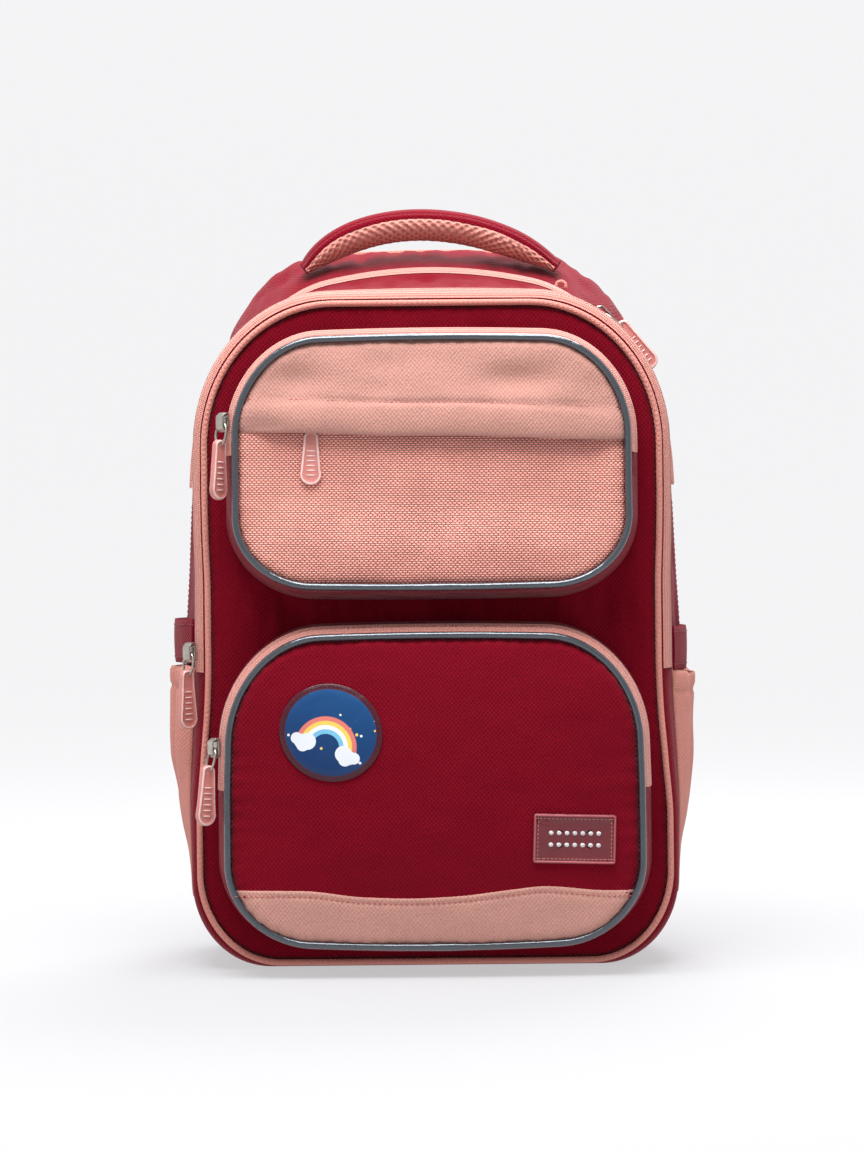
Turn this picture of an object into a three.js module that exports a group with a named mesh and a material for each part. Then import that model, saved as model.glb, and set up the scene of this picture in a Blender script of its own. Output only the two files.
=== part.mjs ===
// A child's school backpack, standing on its base: a front and a main compartment, each closed by a zip,
// two zipped front pockets, open side pockets under side straps, a padded grab handle and padded shoulder
// straps.
// Millimetres. X runs to the right as seen from the front, Y from the front to the back, Z up from the floor.
// The origin lies on the floor, under the middle of the base.
import * as THREE from "three";

// Cloth and seams
const CLOTH = 2;
const SEAM_GAP = 0.3;
const TAPE_GAP = 0.45;
const TAPE_THICK = 1.2;
const PANEL_CLEARANCE = 0.6;

// Body
const BODY_DEPTH = 124;
const BODY_HALF_WIDTH = 142;
const BODY_HEIGHT = 415;
const TOP_ARCH = 30;
const TOP_CORNER = { wide: 75, high: 80 };
const BOTTOM_CORNER = { wide: 45, high: 50 };
const SEAM_LIFT = 4;
const PANEL_CROWN = 6;
const BODY_PIPING_RADIUS = 1.7;
const MAIN_SEAM_SHARE = 0.42;

// Zips of the body
const FRONT_ZIP_WIDE = 8;
const FRONT_ZIP_INSET = 2.6;
const FRONT_ZIP_END_HEIGHT = 164;
const MAIN_ZIP_WIDE = 9;
const MAIN_ZIP_END_HEIGHT = 270;

// Pockets on the front panel; a pocket's zip lies between two shares of its side wall's depth.
const POCKET_ZIP = { from: 0.55, middle: 0.75, to: 0.95 };
const POCKET_PIPING_RADIUS = 1.9;
const UPPER_POCKET = {
  left: -108, right: 108, bottom: 213.5, top: 351.4, taper: 0,
  topWide: 46, topHigh: 54, bottomWide: 42, bottomHigh: 38, crown: 3, sag: 2,
};
const UPPER_POCKET_DEPTH = { bottom: 38, top: 26 };
const UPPER_POCKET_PUFF = 7;
const UPPER_POCKET_FLARE = 7;
const UPPER_ZIP_END_HEIGHT = 286;
const FLAP_EDGE_HEIGHT = 296.3;
const FLAP_EDGE_SLOPE = -0.028;
const FLAP_OVERLAP = 10;
const FLAP_STAND_OFF = 6.5;
const LOWER_POCKET = {
  left: -113.5, right: 113.5, bottom: 17, top: 187, taper: 0.02,
  topWide: 50, topHigh: 57, bottomWide: 45, bottomHigh: 43, crown: 3, sag: 4.5,
};
const LOWER_POCKET_DEPTH = { bottom: 42, top: 36 };
const LOWER_POCKET_PUFF = 9;
const LOWER_POCKET_FLARE = 7.5;
const LOWER_ZIP_END_HEIGHT = 101;
const BAND_EDGE_HEIGHT = 47;
const BAND_WAVE = 3;

// Patches on the lower pocket
const PICTURE = { x: -56.4, z: 134.6, wide: 57, high: 53, turn: -20 };
const PICTURE_THICK = 1;
const LABEL = { x: 76, z: 75.5, wide: 45.5, high: 27, turn: -2 };
const LABEL_THICK = 1.4;

// Sides: the tops are shares of BODY_HEIGHT, the bulges of SIDE_POCKET_BULGE and SIDE_STRAP_BULGE.
const SIDE_POCKET_BOTTOM = 40;
const SIDE_POCKET_BULGE = 10.2;
const SIDE_STRAP_WIDE = 25;
const SIDE_STRAP_BULGE = 7;
const SIDES = [
  { name: "right", side: 1, pocketTop: 0.3952, pocketBulge: 0.82, strapTop: 0.4578, strapBulge: 0.45 },
  { name: "left", side: -1, pocketTop: 0.4072, pocketBulge: 1.0, strapTop: 0.4735, strapBulge: 1.0 },
];

// Handle
const HANDLE_HALF_SPAN = 72;
const HANDLE_BEHIND_CENTRE = 16;
const HANDLE_PEAK = 434;
const HANDLE_THICK = 18;
const HANDLE_WIDE = 25;
const HANDLE_SEAM_SHARE = 0.28;
const HANDLE_FOOT_LEAN = 18;
const HANDLE_SWAY = -6;

// Back and shoulder straps
const BACK_THICK = 7;
const BACK_PAD_THICK = 8;
const BACK_PAD = { x: 47, bottom: 108, top: 330, halfWide: 32, corner: 24 };
const LUMBAR_PAD = { bottom: 40, top: 92, halfWide: 86, corner: 22 };
const STRAP_THICK = 12;
const STRAP_WEB_WIDE = 25;
const STRAP_WEB_THICK = 1.8;
const STRAP_ANCHOR_X = 100;
const STRAP_ANCHOR_HEIGHT = 36;
const BUCKLE_GAP = 1.4;
const BUCKLE = { wide: 32, high: 24, thick: 4, bar: 3.5 };

// Zip pulls
const SLIDER = { long: 11, wide: 6, tall: 5.4, slotLong: 6.4, slotTall: 2.6, wall: 1.2 };
const SLIDER_LIFT = 0.7;
const RING_WIRE = 0.65;
const RING_HALF_WIDE = 4.3;
const RING_HALF_LONG = 6.6;
const TAB = { long: 30, topWide: 8.4, bottomWide: 12, thick: 3.6, eye: 1.7 };

const FRONT_Y = -BODY_DEPTH / 2;
const BACK_Y = BODY_DEPTH / 2;
const DEGREE = Math.PI / 180;

// Depth is a share of BODY_DEPTH from the front seam; width, top, arch and lift are shares of
// BODY_HALF_WIDTH, BODY_HEIGHT, TOP_ARCH and SEAM_LIFT, corner and foot of TOP_CORNER and BOTTOM_CORNER;
// rear mixes the two side profiles.
const BODY_SECTIONS = [
  { depth: 0.0, width: 0.9275, top: 0.8975, arch: 0.0, corner: 1.0, foot: 1.0, lift: 1.0, rear: 0.0 },
  { depth: 0.05, width: 0.962, top: 0.911, arch: 0.1, corner: 1.0, foot: 1.0, lift: 0.3, rear: 0.1 },
  { depth: 0.15, width: 0.978, top: 0.925, arch: 0.4, corner: 1.0, foot: 0.95, lift: 0.0, rear: 0.4 },
  { depth: MAIN_SEAM_SHARE, width: 1.0, top: 0.952, arch: 1.0, corner: 1.0, foot: 0.85, lift: 0, rear: 1.0 },
  { depth: 0.72, width: 0.985, top: 0.985, arch: 0.6, corner: 0.91, foot: 0.85, lift: 0.0, rear: 1.0 },
  { depth: 0.92, width: 0.94, top: 1.0, arch: 0.2, corner: 0.84, foot: 0.85, lift: 0.0, rear: 1.0 },
  { depth: 1.0, width: 0.905, top: 0.997, arch: 0.2, corner: 0.84, foot: 0.85, lift: 0.5, rear: 1.0 },
];

// How the half width changes with height, in front and behind, as shares of a section's own width.
const SIDE_PROFILE = [
  { height: 0.0, front: 1.0, rear: 0.965 },
  { height: 0.12, front: 1.0, rear: 0.975 },
  { height: 0.22, front: 1.0, rear: 0.99 },
  { height: 0.31, front: 0.982, rear: 1.0 },
  { height: 0.4, front: 0.962, rear: 1.0 },
  { height: 0.46, front: 0.957, rear: 1.0 },
  { height: 0.57, front: 0.957, rear: 0.985 },
  { height: 0.65, front: 0.964, rear: 0.975 },
  { height: 0.72, front: 0.967, rear: 0.965 },
  { height: 0.78, front: 0.967, rear: 0.945 },
  { height: 0.83, front: 0.967, rear: 0.92 },
  { height: 0.9, front: 0.967, rear: 0.9 },
  { height: 1.0, front: 0.967, rear: 0.87 },
];

// Outward swell of a side pocket from its front edge to its back edge, with the pleat between two folds,
// and from its sewn bottom to its open top. Shares of SIDE_POCKET_BULGE.
const POCKET_FOLDS = [
  { depth: 0.13, out: 0.0 },
  { depth: 0.22, out: 0.72 },
  { depth: 0.34, out: 0.55 },
  { depth: 0.5, out: 0.95 },
  { depth: 0.66, out: 1.0 },
  { depth: 0.82, out: 0.7 },
  { depth: 0.94, out: 0.0 },
];
const POCKET_RISE = [
  { height: 0.0, out: 0.0 },
  { height: 0.18, out: 0.12 },
  { height: 0.32, out: 0.45 },
  { height: 0.47, out: 0.74 },
  { height: 0.62, out: 0.92 },
  { height: 1.0, out: 1.0 },
];
const SIDE_STRAP_RISE = [
  { height: 0.0, out: 0.9 },
  { height: 1.0, out: 1.0 },
];
const SIDE_STRAP_BOW = [
  { depth: 0.13, out: 0.0 },
  { depth: 0.24, out: 0.55 },
  { depth: MAIN_SEAM_SHARE, out: 0.9 },
  { depth: 0.6, out: 1.0 },
  { depth: 0.8, out: 0.75 },
  { depth: 0.94, out: 0.0 },
];

// The edge between the lower pocket's two cloths: rise is a share of BAND_WAVE, x of the pocket's half width.
const BAND_EDGE = [
  { x: -1.0, rise: 0.6 },
  { x: -0.64, rise: 0.5 },
  { x: -0.35, rise: -0.7 },
  { x: -0.13, rise: -1.0 },
  { x: 0.09, rise: -0.7 },
  { x: 0.38, rise: 0.5 },
  { x: 0.52, rise: 1.0 },
  { x: 0.82, rise: 0.1 },
  { x: 1.0, rise: 0.0 },
];

// Dents of the upper pocket's plain panel, as shares of the pocket's half width and height.
const POCKET_DENTS = [
  { x: -0.62, z: 0.42, wide: 0.3, deep: 1.6 },
  { x: 0.4, z: 0.5, wide: 0.28, deep: 1.8 },
];

// A shoulder strap from its seam at the top of the back to its webbing, for the right side.
// Side is a share of BODY_HALF_WIDTH, out a share of STRAP_REACH behind the back, height of BODY_HEIGHT,
// wide of STRAP_WIDE.
const STRAP_REACH = 44;
const STRAP_WIDE = 62;
const STRAP_PATH = [
  { side: 0.28, out: 0.012, height: 0.925, wide: 0.75 },
  { side: 0.28, out: 0.35, height: 0.925, wide: 0.8 },
  { side: 0.3, out: 0.86, height: 0.875, wide: 0.95 },
  { side: 0.36, out: 1.0, height: 0.76, wide: 1.0 },
  { side: 0.42, out: 0.98, height: 0.6, wide: 0.96 },
  { side: 0.5, out: 0.92, height: 0.44, wide: 0.85 },
  { side: 0.57, out: 0.84, height: 0.32, wide: 0.72 },
];

// Where the zip pulls hang: the height of each slider above the lower end of its own zip. Facing is the turn
// of a slider from the bag's side towards its front, twist the further turn of its tab, lean the turn of the
// whole pull up a sloping shoulder, and the tilts swing the ring and the tab out, all in degrees. The flap's
// tab starts above the flap's edge.
const UPPER_PULL = { aboveZipEnd: 19, facing: 45, twist: 5, lean: 0, ringTilt: 9, tabTilt: 3 };
const LOWER_PULL = { aboveZipEnd: 25, facing: 32, twist: 4, lean: 0, ringTilt: 14, tabTilt: 5 };
const FRONT_PULL = { aboveZipEnd: 14, facing: 45, twist: -5, lean: 0, ringTilt: 6, tabTilt: 0 };
const SHOULDER_LIFT = 1.8;
const MAIN_PULL = { aboveZipEnd: 96, facing: 0, twist: 0, lean: 44, ringTilt: 8, tabTilt: -7 };
const FLAP_PULL = { x: -66.5, aboveFlapEdge: 1.7, thick: 2 };

const RED = { color: 0x7d0f1f, roughness: 0.85, metalness: 0 };
const PINK = { color: 0xd9998c, roughness: 0.85, metalness: 0 };
const GREY = { color: 0x5f656b, roughness: 0.35, metalness: 0 };
const METAL = { color: 0xb9b2a6, roughness: 0.3, metalness: 1 };
const BLUE = { color: 0x123a66, roughness: 0.3, metalness: 0 };
const PLASTIC = { color: 0x8c1a28, roughness: 0.45, metalness: 0 };

const lerp = (a, b, t) => a + (b - a) * t;
const clamp = (value, low, high) => Math.min(high, Math.max(low, value));
const vector = (x, y, z) => new THREE.Vector3(x, y, z);

// The value of one column of a table at a place along another, between its rows.
function lookUp(table, key, at, column) {
  const next = clamp(table.findIndex((row) => row[key] >= at), 0, table.length - 1);
  const high = at > table.at(-1)[key] ? table.length - 1 : next;
  const low = Math.max(0, high - 1);
  const span = table[high][key] - table[low][key];
  const share = span > 0 ? clamp((at - table[low][key]) / span, 0, 1) : 0;
  return lerp(table[low][column], table[high][column], share);
}

// A closed outline in the XZ plane with elliptical corners, from the bottom's left end, to the right and up.
function roundedOutline(box, steps) {
  const { left, right, bottom, top, topWide, topHigh, bottomWide, bottomHigh } = box;
  const { crown = 0, sag = 0, taper = 0 } = box;
  const points = [];
  const straight = (fromX, fromZ, toX, toZ, count) => {
    for (let k = 0; k < count; k++) {
      points.push({ x: lerp(fromX, toX, k / count), z: lerp(fromZ, toZ, k / count) });
    }
  };
  const corner = (x, z, wide, high, start) => {
    for (let k = 0; k < steps.corner; k++) {
      const angle = (start + k / steps.corner) * (Math.PI / 2);
      points.push({ x: x + wide * Math.cos(angle), z: z + high * Math.sin(angle) });
    }
  };
  straight(left + bottomWide, bottom, right - bottomWide, bottom, steps.bottom);
  corner(right - bottomWide, bottom + bottomHigh, bottomWide, bottomHigh, -1);
  straight(right, bottom + bottomHigh, right, top - topHigh, steps.side);
  corner(right - topWide, top - topHigh, topWide, topHigh, 0);
  straight(right - topWide, top, left + topWide, top, steps.top);
  corner(left + topWide, top - topHigh, topWide, topHigh, 1);
  straight(left, top - topHigh, left, bottom + bottomHigh, steps.side);
  corner(left + bottomWide, bottom + bottomHigh, bottomWide, bottomHigh, 2);
  const middle = { x: (left + right) / 2, z: (bottom + top) / 2 };
  const half = { x: (right - left) / 2, z: (top - bottom) / 2 };
  return points.map(({ x, z }) => {
    const across = ((x - middle.x) / half.x) ** 2;
    const up = (z - middle.z) / half.z;
    const narrowed = middle.x + (x - middle.x) * (1 - taper * Math.max(0, up));
    return { x: narrowed, z: z - (up > 0 ? crown * up * across : sag * up * across) };
  });
}

// Each point of a closed outline with its outward direction.
function withNormals(outline) {
  return outline.map((point, i) => {
    const before = outline.at(i - 1);
    const after = outline[(i + 1) % outline.length];
    const length = Math.hypot(after.x - before.x, after.z - before.z);
    return { ...point, nx: (after.z - before.z) / length, nz: -(after.x - before.x) / length };
  });
}

const offset = (outline, out) =>
  withNormals(outline).map(({ x, z, nx, nz }) => ({ x: x + nx * out, z: z + nz * out }));

// A skin is a list of closed rows of points; at() gives a point between them, moved out along the outline's
// normal.
function makeSkin(rows) {
  const lines = rows.map(({ key, outline, depthOf }) => ({ key, depthOf, points: withNormals(outline) }));
  const count = lines[0].points.length;
  const corner = (line, index, out) => {
    const { x, z, nx, nz } = line.points[((index % count) + count) % count];
    return vector(x + nx * out, line.depthOf(x, z), z + nz * out);
  };
  const at = (along, key, out = 0) => {
    const next = lines.findIndex((line) => line.key >= key);
    const high = next < 1 ? 1 : next;
    const share = clamp((key - lines[high - 1].key) / (lines[high].key - lines[high - 1].key), 0, 1);
    const first = Math.floor(along);
    const pick = (line) => corner(line, first, out).lerp(corner(line, first + 1, out), along - first);
    return pick(lines[high - 1]).lerp(pick(lines[high]), share);
  };
  return { at, count, keys: lines.map((line) => line.key) };
}

// The sorted knots of a run, with its two ends.
const knots = (from, to, between) => [from, ...between.filter((k) => k > from + 1e-6 && k < to - 1e-6), to];
const wholeNumbers = (from, to) => {
  const first = Math.floor(from);
  return Array.from({ length: Math.ceil(to) - first + 1 }, (_, k) => first + k);
};

// Where a skin reaches a height on its right (1) or left (-1) side.
function alongAtHeight(skin, side, key, height) {
  for (let k = 0; k < skin.count; k++) {
    const [a, b] = [skin.at(k, key), skin.at(k + 1, key)];
    const crosses = (a.z - height) * (b.z - height) <= 0 && a.z !== b.z;
    if (crosses && a.x * side > 0 && b.x * side > 0) return k + (height - a.z) / (b.z - a.z);
  }
  throw new Error("the skin doesn't reach a height of " + height);
}

const BODY_STEPS = { bottom: 3, corner: 6, side: 9, top: 4 };
const bodySkin = makeSkin(
  BODY_SECTIONS.map(({ depth, width, top, arch, corner, foot, lift, rear }) => {
    const half = width * BODY_HALF_WIDTH;
    const height = top * BODY_HEIGHT;
    const outline = roundedOutline(
      {
        left: -half, right: half, bottom: lift * SEAM_LIFT, top: height,
        topWide: corner * TOP_CORNER.wide, topHigh: corner * TOP_CORNER.high,
        bottomWide: foot * BOTTOM_CORNER.wide, bottomHigh: foot * BOTTOM_CORNER.high, crown: arch * TOP_ARCH,
      },
      BODY_STEPS,
    ).map(({ x, z }) => {
      const share = z / height;
      const front = lookUp(SIDE_PROFILE, "height", share, "front");
      return { x: x * lerp(front, lookUp(SIDE_PROFILE, "height", share, "rear"), rear), z };
    });
    return { key: depth, outline, depthOf: () => FRONT_Y + depth * BODY_DEPTH };
  }),
);

const depthShare = (y) => (y - FRONT_Y) / BODY_DEPTH;
const bodyOutlineAt = (share) =>
  wholeNumbers(0, bodySkin.count - 1)
    .map((k) => bodySkin.at(k, share))
    .map(({ x, z }) => ({ x, z }));
const bodyFrontOutline = bodyOutlineAt(0);

// Height of the body's top over a point of its plan.
function bodyTopZ(x, y) {
  const key = depthShare(y);
  const half = Math.floor(bodySkin.count / 2);
  for (let k = 0; k < bodySkin.count; k++) {
    const [a, b] = [bodySkin.at(k, key), bodySkin.at(k + 1, key)];
    const isTop = a.z > BODY_HEIGHT / 2 && Math.abs(k - half) < half;
    if (isTop && (a.x - x) * (b.x - x) <= 0 && a.x !== b.x) return lerp(a.z, b.z, (x - a.x) / (b.x - a.x));
  }
  throw new Error("the body has no top over x = " + x);
}

// Closed solids. Triangles are turned round if the volume comes out negative.
function solid(points, triangles) {
  const geometry = new THREE.BufferGeometry().setFromPoints(points);
  const wedge = ([a, b, c]) => points[a].dot(points[b].clone().cross(points[c]));
  const volume = triangles.reduce((sum, triangle) => sum + wedge(triangle), 0);
  geometry.setIndex(triangles.flatMap(([a, b, c]) => (volume > 0 ? [a, b, c] : [a, c, b])));
  return geometry;
}

// Rings of equally many points, joined in order; the ends are closed by fans, or joined in a loop.
function loft(rings, loop = false) {
  const count = rings[0].length;
  const points = rings.flat();
  const triangles = [];
  const strips = loop ? rings.length : rings.length - 1;
  for (let r = 0; r < strips; r++) {
    const low = r * count;
    const high = ((r + 1) % rings.length) * count;
    for (let k = 0; k < count; k++) {
      const next = (k + 1) % count;
      triangles.push([low + k, low + next, high + next], [low + k, high + next, high + k]);
    }
  }
  if (!loop) {
    const ends = [[0, rings[0], true], [(rings.length - 1) * count, rings.at(-1), false]];
    for (const [start, ring, turned] of ends) {
      const centre = points.length;
      points.push(ring.reduce((sum, p) => sum.add(p), vector(0, 0, 0)).divideScalar(count));
      for (let k = 0; k < count; k++) {
        const [a, b] = [start + k, start + ((k + 1) % count)];
        triangles.push(turned ? [b, a, centre] : [a, b, centre]);
      }
    }
  }
  return solid(points, triangles);
}

// A sheet between two grids of points, closed at its borders; loop joins its last column to its first.
function sheet(outer, inner, loop = false) {
  const rows = outer.length;
  const columns = outer[0].length;
  const points = [...outer.flat(), ...inner.flat()];
  const index = (side, row, column) => side * rows * columns + row * columns + (column % columns);
  const triangles = [];
  const quad = (a, b, c, d) => triangles.push([a, b, c], [a, c, d]);
  const spans = loop ? columns : columns - 1;
  for (let c = 0; c < spans; c++) {
    for (let r = 0; r < rows - 1; r++) {
      quad(index(0, r, c), index(0, r, c + 1), index(0, r + 1, c + 1), index(0, r + 1, c));
      quad(index(1, r, c), index(1, r + 1, c), index(1, r + 1, c + 1), index(1, r, c + 1));
    }
    quad(index(0, 0, c), index(1, 0, c), index(1, 0, c + 1), index(0, 0, c + 1));
    quad(index(0, rows - 1, c), index(0, rows - 1, c + 1), index(1, rows - 1, c + 1), index(1, rows - 1, c));
  }
  if (!loop) {
    for (let r = 0; r < rows - 1; r++) {
      const last = columns - 1;
      quad(index(0, r, 0), index(0, r + 1, 0), index(1, r + 1, 0), index(1, r, 0));
      quad(index(0, r, last), index(1, r, last), index(1, r + 1, last), index(0, r + 1, last));
    }
  }
  return solid(points, triangles);
}

// A band or a whole ring of a skin, from one key to another, between two distances out of it.
function skinSheet(skin, from, to, low, high, alongs = null) {
  const keys = knots(from, to, skin.keys);
  const run = alongs ?? wholeNumbers(0, skin.count - 1);
  const grid = (out) => keys.map((key) => run.map((along) => skin.at(along, key, out)));
  return sheet(grid(high), grid(low), alongs === null);
}

// The zip tape that lies on a skin over its top, from one end height on the right to the same on the left.
function zipTape(skin, from, to, endHeight) {
  const middle = (from + to) / 2;
  const start = alongAtHeight(skin, 1, middle, endHeight);
  const end = alongAtHeight(skin, -1, middle, endHeight);
  const run = knots(start, end, wholeNumbers(start, end));
  return skinSheet(skin, from, to, TAPE_GAP, TAPE_GAP + TAPE_THICK, run);
}

// A round cord along a closed outline.
function pipingRing(outline, radius, depthOf) {
  const sides = 6;
  return loft(
    withNormals(outline).map(({ x, z, nx, nz }) =>
      Array.from({ length: sides }, (_, k) => {
        const angle = ((k + 0.5) / sides) * 2 * Math.PI;
        const out = radius * Math.cos(angle);
        return vector(x + nx * out, depthOf(x, z) + radius * Math.sin(angle), z + nz * out);
      }),
    ),
    true,
  );
}

// A sheet that fills an outline, with its front at the depth that frontOf gives and its back behind it.
function filledSheet(outline, frontOf, thick, shares) {
  const share = 1 / outline.length;
  const addShare = (sum, p) => ({ x: sum.x + p.x * share, z: sum.z + p.z * share });
  const middle = outline.reduce(addShare, { x: 0, z: 0 });
  const ring = (share, behind) =>
    outline.map((p) => {
      const [x, z] = [lerp(middle.x, p.x, share), lerp(middle.z, p.z, share)];
      return vector(x, frontOf(x, z) + behind, z);
    });
  return loft([...shares.map((s) => ring(s, 0)), ...shares.toReversed().map((s) => ring(s, thick))]);
}

// The part of an outline above (1) or below (-1) a curve z = edge(x), with that curve as its new border.
function cutOutline(outline, edge, side, steps) {
  const keeps = ({ x, z }) => (z - edge(x)) * side > 0;
  const first = outline.findIndex((p, i) => keeps(p) && !keeps(outline.at(i - 1)));
  const run = [];
  for (let k = 0; k < outline.length; k++) {
    const point = outline[(first + k) % outline.length];
    if (!keeps(point)) break;
    run.push(point);
  }
  const before = outline.at(first - 1);
  const after = outline[(first + run.length) % outline.length];
  const cross = (inside, outside) => {
    const a = inside.z - edge(inside.x);
    const b = outside.z - edge(outside.x);
    return lerp(inside.x, outside.x, a / (a - b));
  };
  const [startX, endX] = [cross(run[0], before), cross(run.at(-1), after)];
  const border = wholeNumbers(0, steps)
    .map((k) => lerp(endX, startX, k / steps))
    .map((x) => ({ x, z: edge(x) }));
  return [...run, ...border];
}

const middleOf = (box) => ({ x: (box.left + box.right) / 2, z: (box.bottom + box.top) / 2 });
const halfOf = (box) => ({ x: (box.right - box.left) / 2, z: (box.top - box.bottom) / 2 });

// How far a stuffed panel stands out at a point, from 0 at its border's straight sides to 1 at its middle.
function puff(box, x, z) {
  const [middle, half] = [middleOf(box), halfOf(box)];
  const across = clamp(1 - ((x - middle.x) / half.x) ** 2, 0, 1);
  const up = clamp(1 - ((z - middle.z) / half.z) ** 2, 0, 1);
  return across * up;
}

const FRONT_BOX = {
  left: Math.min(...bodyFrontOutline.map((p) => p.x)), right: Math.max(...bodyFrontOutline.map((p) => p.x)),
  bottom: Math.min(...bodyFrontOutline.map((p) => p.z)), top: Math.max(...bodyFrontOutline.map((p) => p.z)),
};
const panelY = (x, z) => FRONT_Y - PANEL_CROWN * puff(FRONT_BOX, x, z);

function dentAt(box, x, z) {
  const [middle, half] = [middleOf(box), halfOf(box)];
  return POCKET_DENTS.reduce((sum, dent) => {
    const away = Math.hypot((x - middle.x) / half.x - dent.x, (z - middle.z) / half.z - dent.z) / dent.wide;
    return sum + dent.deep * Math.exp(-away * away);
  }, 0);
}

// A pocket's shapes: the outline of its piping, the depth of its face and the skin of its side wall.
function pocketForm(box, depth, puffHigh, flare) {
  const steps = { bottom: 4, corner: 5, side: 4, top: 4 };
  const outline = roundedOutline(box, steps);
  const upShare = (z) => clamp((z - box.bottom) / (box.top - box.bottom), 0, 1);
  const rimY = (x, z) => FRONT_Y - lerp(depth.bottom, depth.top, upShare(z));
  const faceY = (x, z) => rimY(x, z) - puffHigh * puff(box, x, z);
  const baseY = (x, z) => panelY(x, z) - PANEL_CLEARANCE;
  const behindPiping = POCKET_PIPING_RADIUS + SEAM_GAP;
  const halfWayY = (x, z) => lerp(baseY(x, z), rimY(x, z), 0.5);
  const frontY = (x, z) => rimY(x, z) + behindPiping;
  const rows = [
    { key: 0, outline: offset(outline, flare), depthOf: baseY },
    { key: 0.5, outline: offset(outline, flare * 0.7), depthOf: halfWayY },
    { key: 1, outline: offset(outline, POCKET_PIPING_RADIUS / 2), depthOf: frontY },
  ];
  const panel = offset(outline, -POCKET_PIPING_RADIUS - SEAM_GAP);
  return { box, outline, rimY, faceY, skin: makeSkin(rows), panel };
}

const upperPocket = pocketForm(UPPER_POCKET, UPPER_POCKET_DEPTH, UPPER_POCKET_PUFF, UPPER_POCKET_FLARE);
const lowerPocket = pocketForm(LOWER_POCKET, LOWER_POCKET_DEPTH, LOWER_POCKET_PUFF, LOWER_POCKET_FLARE);

const flapY = (x, z) => upperPocket.faceY(x, z) + dentAt(UPPER_POCKET, x, z);
const meshY = (x, z) => upperPocket.faceY(x, z) + FLAP_STAND_OFF;
const flapEdge = (x) => FLAP_EDGE_HEIGHT + FLAP_EDGE_SLOPE * x;

const bag = new THREE.Group();

function add(name, geometry, finish) {
  geometry.computeVertexNormals();
  const mesh = new THREE.Mesh(geometry, new THREE.MeshStandardMaterial(finish));
  mesh.name = name;
  bag.add(mesh);
}

function buildBody() {
  const seamShare = SEAM_GAP / 2 / BODY_DEPTH;
  const behindPiping = (BODY_PIPING_RADIUS + SEAM_GAP) / BODY_DEPTH;
  add("front_gusset", skinSheet(bodySkin, behindPiping, MAIN_SEAM_SHARE - seamShare, -CLOTH, 0), RED);
  add("main_gusset", skinSheet(bodySkin, MAIN_SEAM_SHARE + seamShare, 1, -CLOTH, 0), RED);
  const inside = offset(bodyFrontOutline, -BODY_PIPING_RADIUS - SEAM_GAP);
  add("front_panel", filledSheet(inside, panelY, CLOTH, [0.3, 0.6, 0.85, 1]), RED);
  add("body_piping", pipingRing(bodyFrontOutline, BODY_PIPING_RADIUS, () => FRONT_Y), PINK);
  const zipFrom = FRONT_ZIP_INSET / BODY_DEPTH;
  const zipTo = zipFrom + FRONT_ZIP_WIDE / BODY_DEPTH;
  add("front_zip_tape", zipTape(bodySkin, zipFrom, zipTo, FRONT_ZIP_END_HEIGHT), PINK);
  const halfZip = MAIN_ZIP_WIDE / 2 / BODY_DEPTH;
  const [mainFrom, mainTo] = [MAIN_SEAM_SHARE - halfZip, MAIN_SEAM_SHARE + halfZip];
  add("main_zip_tape", zipTape(bodySkin, mainFrom, mainTo, MAIN_ZIP_END_HEIGHT), PINK);
}

function buildUpperPocket() {
  const { outline, rimY, skin, panel } = upperPocket;
  add("upper_pocket_gusset", skinSheet(skin, 0, 1, -CLOTH, 0), RED);
  add("upper_pocket_piping", pipingRing(outline, POCKET_PIPING_RADIUS, rimY), GREY);
  add("upper_zip_tape", zipTape(skin, POCKET_ZIP.from, POCKET_ZIP.to, UPPER_ZIP_END_HEIGHT), PINK);
  const meshEdge = (x) => flapEdge(x) + FLAP_OVERLAP;
  const flapOutline = cutOutline(panel, flapEdge, 1, 10);
  add("upper_pocket_flap", filledSheet(flapOutline, flapY, CLOTH, [0.3, 0.65, 1]), PINK);
  const meshOutline = cutOutline(offset(panel, -SEAM_GAP), meshEdge, -1, 8);
  add("upper_pocket_mesh", filledSheet(meshOutline, meshY, CLOTH, [0.35, 0.7, 1]), PINK);
}

// An outline of an ellipse or of a rectangle, turned about its middle.
function patchOutline({ x, z, wide, high, turn }, shape) {
  const [c, s] = [Math.cos(turn * DEGREE), Math.sin(turn * DEGREE)];
  return shape.map(([across, up]) => {
    const [dx, dz] = [(across * wide) / 2, (up * high) / 2];
    return { x: x + dx * c - dz * s, z: z + dx * s + dz * c };
  });
}

const ELLIPSE_STEPS = 20;
const ELLIPSE = Array.from({ length: ELLIPSE_STEPS }, (_, k) => {
  const angle = (2 * Math.PI * k) / ELLIPSE_STEPS;
  return [Math.cos(angle), Math.sin(angle)];
});
const RECTANGLE = [
  [1, 0], [1, 1], [0.33, 1], [-0.33, 1], [-1, 1],
  [-1, 0], [-1, -1], [-0.33, -1], [0.33, -1], [1, -1],
];

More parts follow.
